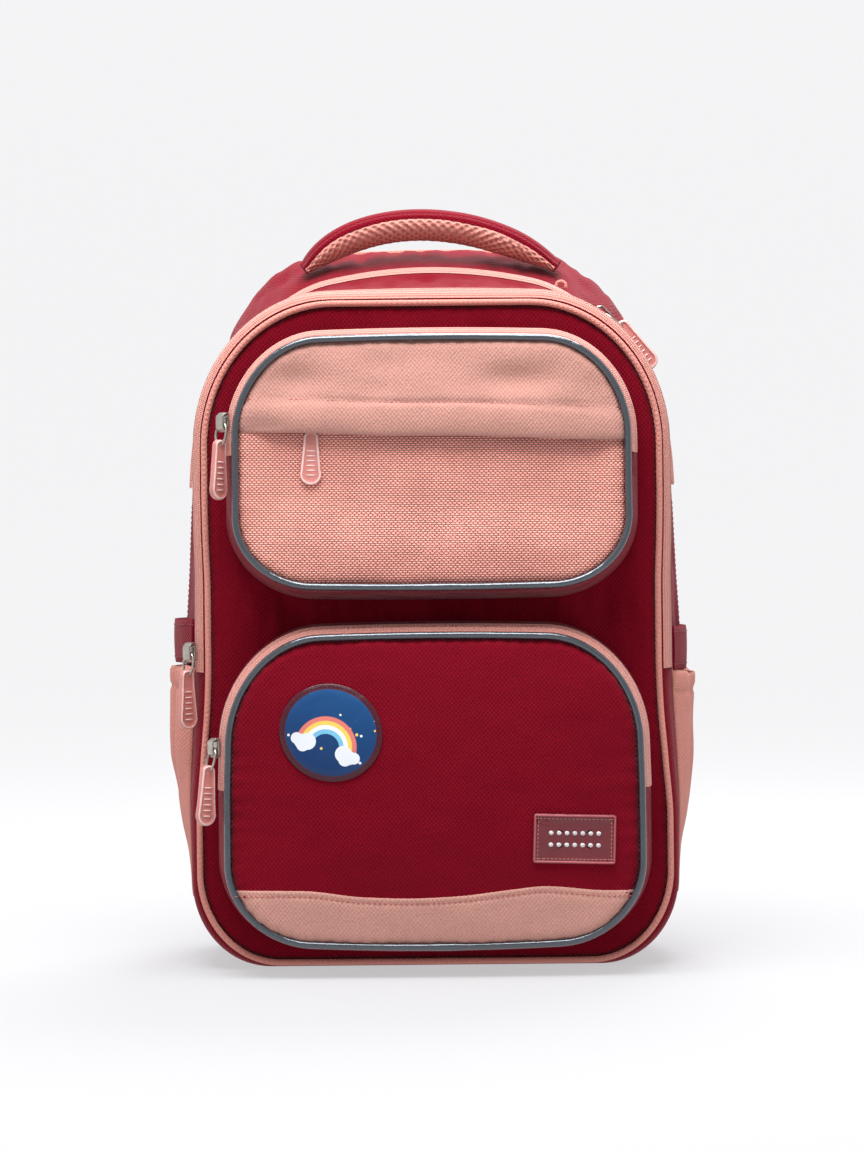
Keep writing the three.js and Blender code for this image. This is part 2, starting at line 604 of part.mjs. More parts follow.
function buildLowerPocket() {
  const { box, outline, rimY, faceY, skin, panel } = lowerPocket;
  add("lower_pocket_gusset", skinSheet(skin, 0, 1, -CLOTH, 0), RED);
  add("lower_pocket_piping", pipingRing(outline, POCKET_PIPING_RADIUS, rimY), GREY);
  add("lower_zip_tape", zipTape(skin, POCKET_ZIP.from, POCKET_ZIP.to, LOWER_ZIP_END_HEIGHT), PINK);
  const wave = (x) => BAND_EDGE_HEIGHT + BAND_WAVE * lookUp(BAND_EDGE, "x", x / halfOf(box).x, "rise");
  const faceOutline = cutOutline(panel, (x) => wave(x) + SEAM_GAP, 1, 10);
  add("lower_pocket_face", filledSheet(faceOutline, faceY, CLOTH, [0.25, 0.5, 0.75, 1]), RED);
  add("lower_pocket_band", filledSheet(cutOutline(panel, wave, -1, 10), faceY, CLOTH, [0.5, 1]), PINK);
  const patch = (place, shape, thick, shares) => {
    const frontOf = (x, z) => faceY(x, z) - SEAM_GAP - thick;
    return filledSheet(patchOutline(place, shape), frontOf, thick, shares);
  };
  add("picture_patch", patch(PICTURE, ELLIPSE, PICTURE_THICK, [0.55, 1]), BLUE);
  add("label_patch", patch(LABEL, RECTANGLE, LABEL_THICK, [0.5, 1]), PLASTIC);
}

// A sheet on the side of the body between two heights, standing out of it by one table over its depth and
// one over its height.
function sideSheet(side, bottom, top, bow, rise, bulge) {
  const between = [...bow.map((row) => row.depth), ...bodySkin.keys].sort((a, b) => a - b);
  const depths = knots(bow[0].depth, bow.at(-1).depth, between);
  const ends = depths.map((depth) =>
    [bottom, top].map((height) => alongAtHeight(bodySkin, side, depth, height)).sort((a, b) => a - b),
  );
  const [first, last] = [Math.max(...ends.map(([from]) => from)), Math.min(...ends.map(([, to]) => to))];
  const shared = wholeNumbers(first, last).slice(1, -1);
  const grid = (extra) =>
    depths.map((depth, row) => {
      return [ends[row][0], ...shared, ends[row][1]].map((along) => {
        const share = (bodySkin.at(along, depth).z - bottom) / (top - bottom);
        const out = bulge * lookUp(bow, "depth", depth, "out") * lookUp(rise, "height", share, "out");
        return bodySkin.at(along, depth, SEAM_GAP + out + extra);
      });
    });
  return sheet(grid(CLOTH), grid(0));
}

function buildSides() {
  for (const { name, side, pocketTop, pocketBulge, strapTop, strapBulge } of SIDES) {
    const swell = SIDE_POCKET_BULGE * pocketBulge;
    const opening = pocketTop * BODY_HEIGHT;
    const pocket = sideSheet(side, SIDE_POCKET_BOTTOM, opening, POCKET_FOLDS, POCKET_RISE, swell);
    add("side_pocket_" + name, pocket, PINK);
    const top = strapTop * BODY_HEIGHT;
    const slack = SIDE_STRAP_BULGE * strapBulge;
    const strap = sideSheet(side, top - SIDE_STRAP_WIDE, top, SIDE_STRAP_BOW, SIDE_STRAP_RISE, slack);
    add("side_strap_" + name, strap, RED);
  }
}

// The handle's section at one end (1) and at its middle (0).
const HANDLE_TAPER = { thick: 0.4, wide: 0.66 };

function handleSections() {
  const footY = HANDLE_BEHIND_CENTRE;
  const footThick = HANDLE_THICK * HANDLE_TAPER.thick;
  const footZ = bodyTopZ(HANDLE_HALF_SPAN, footY) + SEAM_GAP + footThick * 0.72;
  const peak = HANDLE_PEAK - HANDLE_THICK / 2;
  const rise = peak - footZ;
  const radius = (HANDLE_HALF_SPAN ** 2 + rise ** 2) / (2 * rise);
  const reach = Math.asin(HANDLE_HALF_SPAN / radius);
  const count = 18;
  return wholeNumbers(0, count).map((k) => {
    const angle = lerp(-reach, reach, k / count);
    const endShare = Math.abs(2 * (k / count) - 1) ** 5;
    const lean = HANDLE_FOOT_LEAN * DEGREE * endShare;
    const up = vector(Math.sin(angle), 0, Math.cos(angle));
    const back = vector(0, 1, 0);
    const sway = HANDLE_SWAY * (1 - (angle / reach) ** 2);
    return {
      centre: vector(radius * Math.sin(angle) + sway, footY, peak - radius * (1 - Math.cos(angle))),
      up: up.clone().multiplyScalar(Math.cos(lean)).addScaledVector(back, -Math.sin(lean)),
      across: back.clone().multiplyScalar(Math.cos(lean)).addScaledVector(up, Math.sin(lean)),
      halfThick: (HANDLE_THICK / 2) * lerp(1, HANDLE_TAPER.thick, endShare),
      halfWide: (HANDLE_WIDE / 2) * lerp(1, HANDLE_TAPER.wide, endShare),
    };
  });
}

function buildHandle() {
  // The seam's height above the section's middle sets the angle at which the cover and the mesh meet.
  const seam = Math.asin(HANDLE_SEAM_SHARE);
  const half = (from, to, lift) =>
    handleSections().map(({ centre, up, across, halfThick, halfWide }) =>
      wholeNumbers(0, 5).map((k) => {
        const angle = lerp(from, to, k / 5);
        return centre
          .clone()
          .addScaledVector(across, halfWide * Math.cos(angle))
          .addScaledVector(up, halfThick * Math.sin(angle) + lift);
      }),
    );
  add("handle_cover", loft(half(seam, Math.PI - seam, SEAM_GAP / 2)), RED);
  add("handle_mesh", loft(half(2 * Math.PI + seam, Math.PI - seam, -SEAM_GAP / 2)), PINK);
}

// A padded plate behind a depth, with rounded rims: rings shrink towards its outer face.
function pad(outline, startY, thick, inset) {
  const ring = (shrink, y) => offset(outline, -shrink).map(({ x, z }) => vector(x, y, z));
  const rim = [ring(0, startY), ring(0, startY + thick * 0.5), ring(inset * 0.3, startY + thick * 0.85)];
  return loft([...rim, ring(inset, startY + thick)]);
}

const padBox = (middle, { bottom, top, halfWide, corner }) => ({
  left: middle - halfWide, right: middle + halfWide, bottom, top,
  topWide: corner, topHigh: corner, bottomWide: corner, bottomHigh: corner,
});

function strapSections(side) {
  const rows = STRAP_PATH.map(({ side: across, out, height }) =>
    vector(side * across * BODY_HALF_WIDTH, BACK_Y + BACK_THICK + out * STRAP_REACH, height * BODY_HEIGHT),
  );
  const curve = new THREE.CatmullRomCurve3(rows, false, "centripetal");
  const count = 14;
  return wholeNumbers(0, count).map((k) => {
    const share = k / count;
    const along = curve.getTangent(share);
    const wideWay = vector(1, 0, 0).addScaledVector(along, -along.x).normalize();
    const row = share * (STRAP_PATH.length - 1);
    const low = Math.min(Math.floor(row), STRAP_PATH.length - 2);
    const halfWide = (STRAP_WIDE / 2) * lerp(STRAP_PATH[low].wide, STRAP_PATH[low + 1].wide, row - low);
    return { centre: curve.getPoint(share), wideWay, outWay: wideWay.clone().cross(along), halfWide };
  });
}

// A ladder buckle: a frame with two slots either side of its middle bar.
function buckleShape() {
  const { wide, high, bar } = BUCKLE;
  const shape = new THREE.Shape().moveTo(-wide / 2, -high / 2).lineTo(wide / 2, -high / 2);
  shape.lineTo(wide / 2, high / 2).lineTo(-wide / 2, high / 2).closePath();
  const slotHigh = (high - 3 * bar) / 2;
  for (const middle of [-(slotHigh + bar) / 2, (slotHigh + bar) / 2]) {
    const [x, low, top] = [wide / 2 - bar, middle - slotHigh / 2, middle + slotHigh / 2];
    const slot = new THREE.Path().moveTo(-x, low).lineTo(-x, top).lineTo(x, top).lineTo(x, low);
    shape.holes.push(slot.closePath());
  }
  return shape;
}

function buildBack() {
  const steps = { bottom: 3, corner: 3, side: 3, top: 3 };
  const backOutline = bodyOutlineAt(1);
  const backFace = BACK_Y + SEAM_GAP + BACK_THICK;
  add("back_panel", pad(backOutline, BACK_Y + SEAM_GAP, BACK_THICK, 4), RED);
  const padY = backFace + SEAM_GAP;
  add("lumbar_pad", pad(roundedOutline(padBox(0, LUMBAR_PAD), steps), padY, BACK_PAD_THICK, 5), PINK);
  for (const { name, side } of SIDES) {
    const outline = roundedOutline(padBox(side * BACK_PAD.x, BACK_PAD), steps);
    add("back_pad_" + name, pad(outline, padY, BACK_PAD_THICK, 5), PINK);
    const sections = strapSections(side);
    const rings = sections.map(({ centre, wideWay, outWay, halfWide }) =>
      wholeNumbers(0, 7).map((k) => {
        const angle = ((k + 0.5) / 8) * 2 * Math.PI;
        const across = Math.sign(Math.cos(angle)) * Math.abs(Math.cos(angle)) ** 0.4;
        const out = Math.sign(Math.sin(angle)) * Math.abs(Math.sin(angle)) ** 0.7;
        const rim = centre.clone().addScaledVector(wideWay, halfWide * across);
        return rim.addScaledVector(outWay, (STRAP_THICK / 2) * out);
      }),
    );
    add("shoulder_strap_" + name, loft(rings), RED);
    buildStrapEnd(name, side, sections.at(-1), backFace);
  }
}

// The buckle under a shoulder strap's pad, and the webbing from it to the anchor low on the back.
function buildStrapEnd(name, side, end, backFace) {
  const anchor = vector(side * STRAP_ANCHOR_X, backFace + SEAM_GAP + STRAP_WEB_THICK, STRAP_ANCHOR_HEIGHT);
  const toAnchor = anchor.clone().sub(end.centre);
  const down = toAnchor.clone().normalize();
  const across = vector(1, 0, 0).addScaledVector(down, -down.x).normalize();
  const out = across.clone().cross(down).normalize();
  const facing = new THREE.Matrix4().makeBasis(across, down.clone().negate(), out.clone().negate());
  const buckleCentre = end.centre.clone().addScaledVector(down, BUCKLE.high / 2 + BUCKLE_GAP);
  const buckle = new THREE.ExtrudeGeometry(buckleShape(), { depth: BUCKLE.thick, bevelEnabled: false });
  buckle.translate(0, 0, -BUCKLE.thick / 2).applyMatrix4(facing).translate(...buckleCentre);
  add("strap_buckle_" + name, buckle, PLASTIC);
  const start = buckleCentre.clone().addScaledVector(down, BUCKLE.high / 2 + SEAM_GAP);
  const webCorner = (p, share, level) =>
    p
      .clone()
      .addScaledVector(across, share * STRAP_WEB_WIDE)
      .addScaledVector(out, (level * STRAP_WEB_THICK) / 2);
  const web = (level) => [start, anchor].map((p) => [-0.5, 0.5].map((share) => webCorner(p, share, level)));
  add("strap_webbing_" + name, sheet(web(1), web(-1)), RED);
}

const TAPE_FACE = TAPE_GAP + TAPE_THICK + SEAM_GAP;

// A slider with its bridge, standing on a tape: its length runs up, its height out of the cloth.
function sliderGeometry() {
  const { long, wide, tall, slotLong, slotTall, wall } = SLIDER;
  const shape = new THREE.Shape().moveTo(-long / 2, 0).lineTo(long / 2, 0).lineTo(long / 2, tall - wall * 2);
  shape.lineTo(slotLong / 2, tall).lineTo(-slotLong / 2, tall).lineTo(-long / 2, tall - wall * 2).closePath();
  const [low, high] = [tall - wall - slotTall, tall - wall];
  const half = slotLong / 2;
  const slot = new THREE.Path().moveTo(-half, low).lineTo(-half, high).lineTo(half, high).lineTo(half, low);
  shape.holes.push(slot.closePath());
  return new THREE.ExtrudeGeometry(shape, { depth: wide, bevelEnabled: false }).translate(0, 0, -wide / 2);
}

// The oval ring between a slider and its tab, in its own XY plane.
function ringGeometry() {
  const points = wholeNumbers(0, 11).map((k) => {
    const angle = ((k + 0.5) / 12) * 2 * Math.PI;
    return { angle, x: RING_HALF_WIDE * Math.cos(angle), z: RING_HALF_LONG * Math.sin(angle) };
  });
  const sides = 5;
  return loft(
    withNormals(points).map(({ x, z, nx, nz }) =>
      Array.from({ length: sides }, (_, k) => {
        const turn = (k / sides) * 2 * Math.PI;
        const out = RING_WIRE * Math.cos(turn);
        return vector(x + nx * out, z + nz * out, RING_WIRE * Math.sin(turn));
      }),
    ),
    true,
  );
}

// A tab that hangs from its eye at the origin, widening to a round end.
function tabGeometry(thick, eye) {
  const { long, topWide, bottomWide } = TAB;
  const radius = bottomWide / 2;
  const shape = new THREE.Shape().moveTo(-radius, radius - long);
  shape.absarc(0, radius - long, radius, Math.PI, 2 * Math.PI, false);
  shape.lineTo(topWide / 2, 0).lineTo(topWide / 4, eye * 2);
  shape.lineTo(-topWide / 4, eye * 2).lineTo(-topWide / 2, 0).closePath();
  if (eye > 0) shape.holes.push(new THREE.Path().absarc(0, 0, eye, 0, 2 * Math.PI, true));
  const options = { depth: thick, bevelEnabled: false, curveSegments: 5 };
  return new THREE.ExtrudeGeometry(shape, options).translate(0, 0, -thick / 2);
}

// Upwards, leant back so that what hangs from it swings out.
const tiltedUp = (up, out, degrees) =>
  up.clone().multiplyScalar(Math.cos(degrees * DEGREE)).addScaledVector(out, -Math.sin(degrees * DEGREE));

// A slider, its ring and its tab on one side of a skin, above the lower end of its zip.
function buildPull(name, skin, key, zipEnd, pull, side = -1) {
  const { aboveZipEnd, facing, twist, lean, ringTilt, tabTilt } = pull;
  const seat = skin.at(alongAtHeight(skin, side, key, zipEnd + aboveZipEnd), key, TAPE_FACE);
  const turn = facing * DEGREE;
  const out = vector(side * Math.cos(turn), -Math.sin(turn), 0);
  const up = vector(0, 0, 1);
  const across = up.clone().cross(out);
  for (const way of [out, up]) way.applyAxisAngle(across, -lean * DEGREE);
  seat.addScaledVector(out, SHOULDER_LIFT * Math.sin(lean * DEGREE));
  seat.addScaledVector(out, SLIDER_LIFT * (SLIDER.wide / 2) * Math.tan(turn));
  const place = (geometry, x, y, z, at) =>
    geometry.applyMatrix4(new THREE.Matrix4().makeBasis(x, y, z)).translate(...at);
  add(name + "_slider", place(sliderGeometry(), up, out, up.clone().cross(out), seat), METAL);
  const slotMiddle = SLIDER.tall - SLIDER.wall - SLIDER.slotTall / 2;
  const hang = seat.clone().addScaledVector(out, slotMiddle);
  const ringUp = tiltedUp(up, out, ringTilt);
  const ringCentre = hang.clone().addScaledVector(ringUp, -RING_HALF_LONG);
  add(name + "_ring", place(ringGeometry(), across, ringUp, across.clone().cross(ringUp), ringCentre), METAL);
  const eye = hang.clone().addScaledVector(ringUp, -2 * RING_HALF_LONG);
  const tabOut = out.clone().applyAxisAngle(up, side * -twist * DEGREE);
  const tabUp = tiltedUp(up, tabOut, tabTilt);
  const tabAcross = tabUp.clone().cross(up.clone().cross(tabOut)).negate();
  const tab = tabGeometry(TAB.thick, TAB.eye);
  add(name + "_tab", place(tab, tabAcross, tabUp, tabAcross.clone().cross(tabUp), eye), PINK);
}

function buildPulls() {
  const frontZipMiddle = (FRONT_ZIP_INSET + FRONT_ZIP_WIDE / 2) / BODY_DEPTH;
  buildPull("upper_pull", upperPocket.skin, POCKET_ZIP.middle, UPPER_ZIP_END_HEIGHT, UPPER_PULL);
  buildPull("lower_pull", lowerPocket.skin, POCKET_ZIP.middle, LOWER_ZIP_END_HEIGHT, LOWER_PULL);
  buildPull("front_pull", bodySkin, frontZipMiddle, FRONT_ZIP_END_HEIGHT, FRONT_PULL);
  buildPull("main_pull", bodySkin, MAIN_SEAM_SHARE, MAIN_ZIP_END_HEIGHT, MAIN_PULL, 1);
  const { x, aboveFlapEdge, thick } = FLAP_PULL;
  const top = flapEdge(x) + aboveFlapEdge;
  const behindFlap = flapY(x, top) + CLOTH + PANEL_CLEARANCE + thick / 2;
  const beforeMesh = meshY(x, top - TAB.long) - PANEL_CLEARANCE - thick / 2;
  const lean = Math.atan((behindFlap - beforeMesh) / TAB.long);
  const flapTab = tabGeometry(thick, 0).rotateX(Math.PI / 2 - lean).translate(x, behindFlap, top);
  add("flap_pull_tab", flapTab, PINK);
}

buildBody();
buildUpperPocket();
buildLowerPocket();
buildSides();
buildHandle();
buildBack();
buildPulls();

export default bag;
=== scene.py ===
"""A school backpack in cloth, piping, zips and moulded tabs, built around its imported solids."""

import math
from functools import partial

import bmesh
import bpy
import numpy as np
from bpy.props import FloatProperty, FloatVectorProperty, PointerProperty
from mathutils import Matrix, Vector, noise


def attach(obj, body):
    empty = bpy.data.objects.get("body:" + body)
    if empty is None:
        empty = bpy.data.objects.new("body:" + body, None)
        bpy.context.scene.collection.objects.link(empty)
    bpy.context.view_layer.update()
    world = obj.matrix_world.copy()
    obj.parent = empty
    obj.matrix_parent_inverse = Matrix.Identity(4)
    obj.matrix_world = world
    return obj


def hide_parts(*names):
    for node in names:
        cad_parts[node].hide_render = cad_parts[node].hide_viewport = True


bl_info = {
    "name": "School backpack",
    "version": (1, 0, 0),
    "blender": (4, 5, 0),
    "location": "View3D > Sidebar > Backpack",
    "description": "Builds a child's school backpack from cloth, piping, zips and padding",
    "category": "Add Mesh",
}

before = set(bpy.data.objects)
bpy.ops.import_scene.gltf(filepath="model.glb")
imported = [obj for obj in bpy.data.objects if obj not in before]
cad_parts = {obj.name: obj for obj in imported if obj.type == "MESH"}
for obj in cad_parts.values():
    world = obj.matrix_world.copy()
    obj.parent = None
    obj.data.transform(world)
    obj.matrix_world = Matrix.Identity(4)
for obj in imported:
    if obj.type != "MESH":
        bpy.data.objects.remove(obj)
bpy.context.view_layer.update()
MM = 0.001
UV_NAME = "cloth"

# Body, in millimetres, and its sections by share of the depth from the front seam
BODY_DEPTH = 124.0
BODY_HALF_WIDTH = 142.0
BODY_HEIGHT = 415.0
FRONT_Y = -BODY_DEPTH / 2
BACK_Y = BODY_DEPTH / 2
TOP_ARCH = 30.0
TOP_CORNER = (75.0, 80.0)
FOOT_CORNER = (45.0, 50.0)
SEAM_LIFT = 4.0
PANEL_CROWN = 6.0
MAIN_SEAM = 0.42
BODY_PIPING = 1.75
SECTION_DEPTHS = (0.0, 0.05, 0.15, 0.42, 0.72, 0.92, 1.0)
SECTIONS = {
    "width": (0.9275, 0.962, 0.978, 1.0, 0.985, 0.94, 0.905),
    "top": (0.8975, 0.911, 0.925, 0.952, 0.985, 1.0, 0.997),
    "arch": (0.0, 0.1, 0.4, 1.0, 0.6, 0.2, 0.2),
    "corner": (1.0, 1.0, 1.0, 1.0, 0.91, 0.84, 0.84),
    "foot": (1.0, 1.0, 0.95, 0.85, 0.85, 0.85, 0.85),
    "lift": (1.0, 0.3, 0.0, 0.0, 0.0, 0.0, 0.5),
    "rear": (0.0, 0.1, 0.4, 1.0, 1.0, 1.0, 1.0),
}
PROFILE_HEIGHTS = (0.0, 0.12, 0.22, 0.31, 0.4, 0.46, 0.57, 0.65, 0.72, 0.78, 0.83, 0.9, 1.0)
PROFILE_FRONT = (1.0, 1.0, 1.0, 0.982, 0.962, 0.957, 0.957, 0.964, 0.967, 0.967, 0.967, 0.967, 0.967)
PROFILE_REAR = (0.965, 0.975, 0.99, 1.0, 1.0, 1.0, 0.985, 0.975, 0.965, 0.945, 0.92, 0.9, 0.87)

# Pockets on the front
POCKET_PIPING = 1.95
UPPER = {
    "left": -108.0, "right": 108.0, "bottom": 213.5, "top": 351.4, "taper": 0.0, "crown": 3.0, "sag": 2.0,
    "top_wide": 46.0, "top_high": 54.0, "bottom_wide": 42.0, "bottom_high": 38.0,
    "deep_bottom": 38.0, "deep_top": 26.0, "puff": 7.0, "flare": 7.0, "zip_end": 286.0,
}
LOWER = {
    "left": -113.5, "right": 113.5, "bottom": 17.0, "top": 187.0, "taper": 0.02, "crown": 3.0, "sag": 4.5,
    "top_wide": 50.0, "top_high": 57.0, "bottom_wide": 45.0, "bottom_high": 43.0,
    "deep_bottom": 42.0, "deep_top": 36.0, "puff": 9.0, "flare": 7.5, "zip_end": 101.0,
}
FLAP_EDGE = (296.3, -0.028)
FLAP_HEM = 18.5
BAND_HEIGHT = 47.0
BAND_WAVE_X = (-1.0, -0.64, -0.35, -0.13, 0.09, 0.38, 0.52, 0.82, 1.0)
BAND_WAVE_Z = (1.8, 1.5, -2.1, -3.0, -2.1, 1.5, 3.0, 0.3, 0.0)
PICTURE = {"x": -56.4, "z": 134.6, "wide": 57.0, "high": 53.0, "turn": -20.0}
LABEL = {"x": 76.0, "z": 75.5, "wide": 45.5, "high": 27.0, "turn": -2.0}
# Dents in the flap: x, z, width, height and depth
FLAP_DENTS = (
    (-76, 328, 20, 9, 4.0), (46, 327, 24, 8, 3.8), (-8, 337, 36, 8, 1.2), (90, 320, 11, 12, 1.6),
    (-30, 322, 14, 7, 1.3), (-93, 302, 13, 5, 2.2),
)

# Zips on the body: how far in and how wide they are, and the height of their ends
FRONT_ZIP_INSET = 2.6
FRONT_ZIP_WIDE = 8.0
FRONT_ZIP_END = 164.0
MAIN_ZIP_WIDE = 9.0
MAIN_ZIP_END = 270.0
SEAM_STITCHES_END = 262.0

# Sides: name, side, pocket top, pocket bulge, strap top, strap bulge
SIDES = (("right", 1, 164.0, 8.4, 190.0, 3.2), ("left", -1, 169.0, 10.2, 196.5, 7.0))
SIDE_FROM, SIDE_TO = 0.13, 0.94
POCKET_BOTTOM = 40.0
SIDE_STRAP_WIDE = 25.0

# Handle, pads and shoulder straps
HANDLE = {
    "half_span": 72.0, "y": 16.0, "peak": 434.0, "thick": 18.0, "wide": 25.0, "seam": 0.28, "sway": -6.0,
}
MESH_PITCH = 5.5
# Pads: name, middle, bottom, top, half width and corner
BACK_PADS = (
    ("lumbar_pad", 0, 40, 92, 86, 22), ("back_pad_right", 47, 108, 330, 32, 24),
    ("back_pad_left", -47, 108, 330, 32, 24),
)
BACK_PLATE = 7.0
# Straps: places across, out and up as shares of the body's half width, the reach and the body's height,
# and the strap's width as a share of its own
STRAP_REACH = 44.0
STRAP_HALF_WIDE = 31.0
STRAP_THICK = 6.0
WEB_WIDE = 25.0
BUCKLE_LONG = 24.0
STRAP_PATH = (
    (0.28, 0.012, 0.925, 0.75), (0.28, 0.35, 0.925, 0.8), (0.3, 0.86, 0.875, 0.95), (0.36, 1.0, 0.76, 1.0),
    (0.42, 0.98, 0.6, 0.96), (0.5, 0.92, 0.44, 0.85), (0.57, 0.84, 0.32, 0.72),
)

# Zip pulls
RING_INSET = 0.65
RING_WIRE = 0.72
TAB_CAP = 3.5
# A tab's rim from its edge inwards: the inset, and the height as a share of its half thickness
TAB_RINGS = ((0.0, 0.45), (0.25, 0.8), (0.7, 1.0), (1.3, 1.0), (1.75, 0.72), (2.6, 0.7))
TAB_RIM_ROWS = (3, 4, 9, 10)

SWELL_FRAMES = 20


def linear(red, green, blue):
    """A screen colour of three numbers from 0 to 255, as light."""
    shares = [c / 255 for c in (red, green, blue)]
    return tuple(s / 12.92 if s <= 0.04045 else ((s + 0.055) / 1.055) ** 2.4 for s in shares) + (1.0,)


# ---------------------------------------------------------------------------------------------------------
# Numbers and outlines


def curve_through(places, values):
    """A smooth curve through a table that never overshoots its rows."""
    xs, ys = np.array(places, float), np.array(values, float)
    steps = np.diff(xs)
    slopes = np.diff(ys) / steps
    tangents = np.concatenate([[slopes[0]], np.zeros(len(xs) - 2), [slopes[-1]]])
    for i in range(1, len(xs) - 1):
        if slopes[i - 1] * slopes[i] > 0:
            tangents[i] = 2 * slopes[i - 1] * slopes[i] / (slopes[i - 1] + slopes[i])

    def at(x):
        x = np.clip(x, xs[0], xs[-1])
        i = np.clip(np.searchsorted(xs, x) - 1, 0, len(steps) - 1)
        t = (x - xs[i]) / steps[i]
        rise = steps[i] * (tangents[i] * (t**3 - 2 * t**2 + t) + tangents[i + 1] * (t**3 - t**2))
        return ys[i] + (ys[i + 1] - ys[i]) * (3 * t**2 - 2 * t**3) + rise

    return at


def smooth_step(low, high, x):
    """Goes from 0 at low to 1 at high, level at both ends."""
    t = np.clip((x - low) / (high - low), 0, 1)
    return t * t * (3 - 2 * t)


def rumple(points, size, seed):
    """Soft noise from -1 to 1 at each point, with folds of about this size in millimetres."""
    flat = points.reshape(-1, 3) / np.array(size) + seed
    return np.array([noise.noise(Vector(p)) for p in flat]).reshape(points.shape[:-1])


def rounded_outline(box, steps):
    """A closed outline in x and z with elliptical corners, from the bottom's left end to the right and up."""
    left, right, bottom, top = box["left"], box["right"], box["bottom"], box["top"]
    top_wide, top_high = box["top_wide"], box["top_high"]
    foot_wide, foot_high = box["bottom_wide"], box["bottom_high"]
    n_bottom, n_corner, n_side, n_top = steps

    def straight(start, end, count):
        t = (np.arange(count) / count)[:, None]
        return np.array(start) * (1 - t) + np.array(end) * t

    def corner(x, z, wide, high, quarter):
        angle = (quarter + np.arange(n_corner) / n_corner) * math.pi / 2
        return np.stack([x + wide * np.cos(angle), z + high * np.sin(angle)], 1)

    points = np.concatenate([
        straight((left + foot_wide, bottom), (right - foot_wide, bottom), n_bottom),
        corner(right - foot_wide, bottom + foot_high, foot_wide, foot_high, -1),
        straight((right, bottom + foot_high), (right, top - top_high), n_side),
        corner(right - top_wide, top - top_high, top_wide, top_high, 0),
        straight((right - top_wide, top), (left + top_wide, top), n_top),
        corner(left + top_wide, top - top_high, top_wide, top_high, 1),
        straight((left, top - top_high), (left, bottom + foot_high), n_side),
        corner(left + foot_wide, bottom + foot_high, foot_wide, foot_high, 2),
    ])
    x, z = points[:, 0], points[:, 1]
    middle_x, half_x = (left + right) / 2, (right - left) / 2
    middle_z, half_z = (bottom + top) / 2, (top - bottom) / 2
    across, up = ((x - middle_x) / half_x) ** 2, (z - middle_z) / half_z
    drop = np.where(up > 0, box.get("crown", 0), box.get("sag", 0)) * up * across
    narrow = 1 - box.get("taper", 0) * np.maximum(0, up)
    return np.stack([middle_x + (x - middle_x) * narrow, z - drop], 1)


def outline_normals(outline):
    """The direction away from a closed outline at each of its points."""
    tangent = np.roll(outline, -1, 0) - np.roll(outline, 1, 0)
    tangent /= np.linalg.norm(tangent, axis=1, keepdims=True)
    return np.stack([tangent[:, 1], -tangent[:, 0]], 1)


def offset(outline, out):
    """An outline moved outwards, by one distance or one for each point."""
    return outline + outline_normals(outline) * np.reshape(out, (-1, 1))


def cut_outline(outline, edge, side, steps=90):
    """The part of an outline above (1) or below (-1) a curve z = edge(x), closed along that curve."""
    keeps = (outline[:, 1] - edge(outline[:, 0])) * side > 0
    first = next(i for i in range(len(keeps)) if keeps[i] and not keeps[i - 1])
    turned = np.roll(outline, -first, 0)
    run = turned[np.roll(keeps, -first)]
    start, end = run[-1, 0], run[0, 0]
    xs = np.linspace(start, end, steps + 1)
    return np.concatenate([run, np.stack([xs, edge(xs)], 1)])


def distance_to(outline, points):
    """The distance of each point to a closed outline, and how far along the outline the nearest place is."""
    start, end = outline, np.roll(outline, -1, 0)
    span = end - start
    length = np.maximum(np.linalg.norm(span, axis=1), 1e-9)
    along = np.concatenate([[0], np.cumsum(length)[:-1]])
    rel = points[:, None, :] - start[None]
    t = np.clip((rel * span).sum(-1) / length**2, 0, 1)
    gap = np.linalg.norm(rel - t[..., None] * span, axis=-1)
    nearest = gap.argmin(1)
    rows = np.arange(len(points))
    return gap[rows, nearest], along[nearest] + t[rows, nearest] * length[nearest]


BODY_STEPS = (60, 26, 90, 50)
body_value = {name: curve_through(SECTION_DEPTHS, row) for name, row in SECTIONS.items()}
profile_front = curve_through(PROFILE_HEIGHTS, PROFILE_FRONT)
profile_rear = curve_through(PROFILE_HEIGHTS, PROFILE_REAR)


def body_outline(share):
    """The body's outline in x and z at a share of its depth."""
    value = {name: float(at(share)) for name, at in body_value.items()}
    half, height = value["width"] * BODY_HALF_WIDTH, value["top"] * BODY_HEIGHT
    outline = rounded_outline({
        "left": -half, "right": half, "bottom": value["lift"] * SEAM_LIFT, "top": height,
        "top_wide": value["corner"] * TOP_CORNER[0], "top_high": value["corner"] * TOP_CORNER[1],
        "bottom_wide": value["foot"] * FOOT_CORNER[0], "bottom_high": value["foot"] * FOOT_CORNER[1],
        "crown": value["arch"] * TOP_ARCH,
    }, BODY_STEPS)
    up = outline[:, 1] / height
    narrow = profile_front(up) * (1 - value["rear"]) + profile_rear(up) * value["rear"]
    return np.stack([outline[:, 0] * narrow, outline[:, 1]], 1)


def at_depth(outline, y):
    """An outline in x and z as points, at one depth or one for each point."""
    return np.stack([outline[:, 0], np.broadcast_to(y, len(outline)), outline[:, 1]], 1)


def body_skin(share, out=0.0):
    """The body's outline at a share of its depth, moved out by a distance, as points."""
    return at_depth(offset(body_outline(share), out), FRONT_Y + share * BODY_DEPTH)


def puff(box, x, z, power=2):
    """How far a stuffed panel stands out, from 0 at its border to 1 at its middle."""

    def rise(place, low, high):
        return np.clip(1 - np.abs((place - (low + high) / 2) / ((high - low) / 2)) ** power, 0, 1)

    return rise(x, box["left"], box["right"]) * rise(z, box["bottom"], box["top"])


front_outline = body_outline(0.0)
FRONT_BOX = {
    "left": front_outline[:, 0].min(), "right": front_outline[:, 0].max(),
    "bottom": front_outline[:, 1].min(), "top": front_outline[:, 1].max(),
}


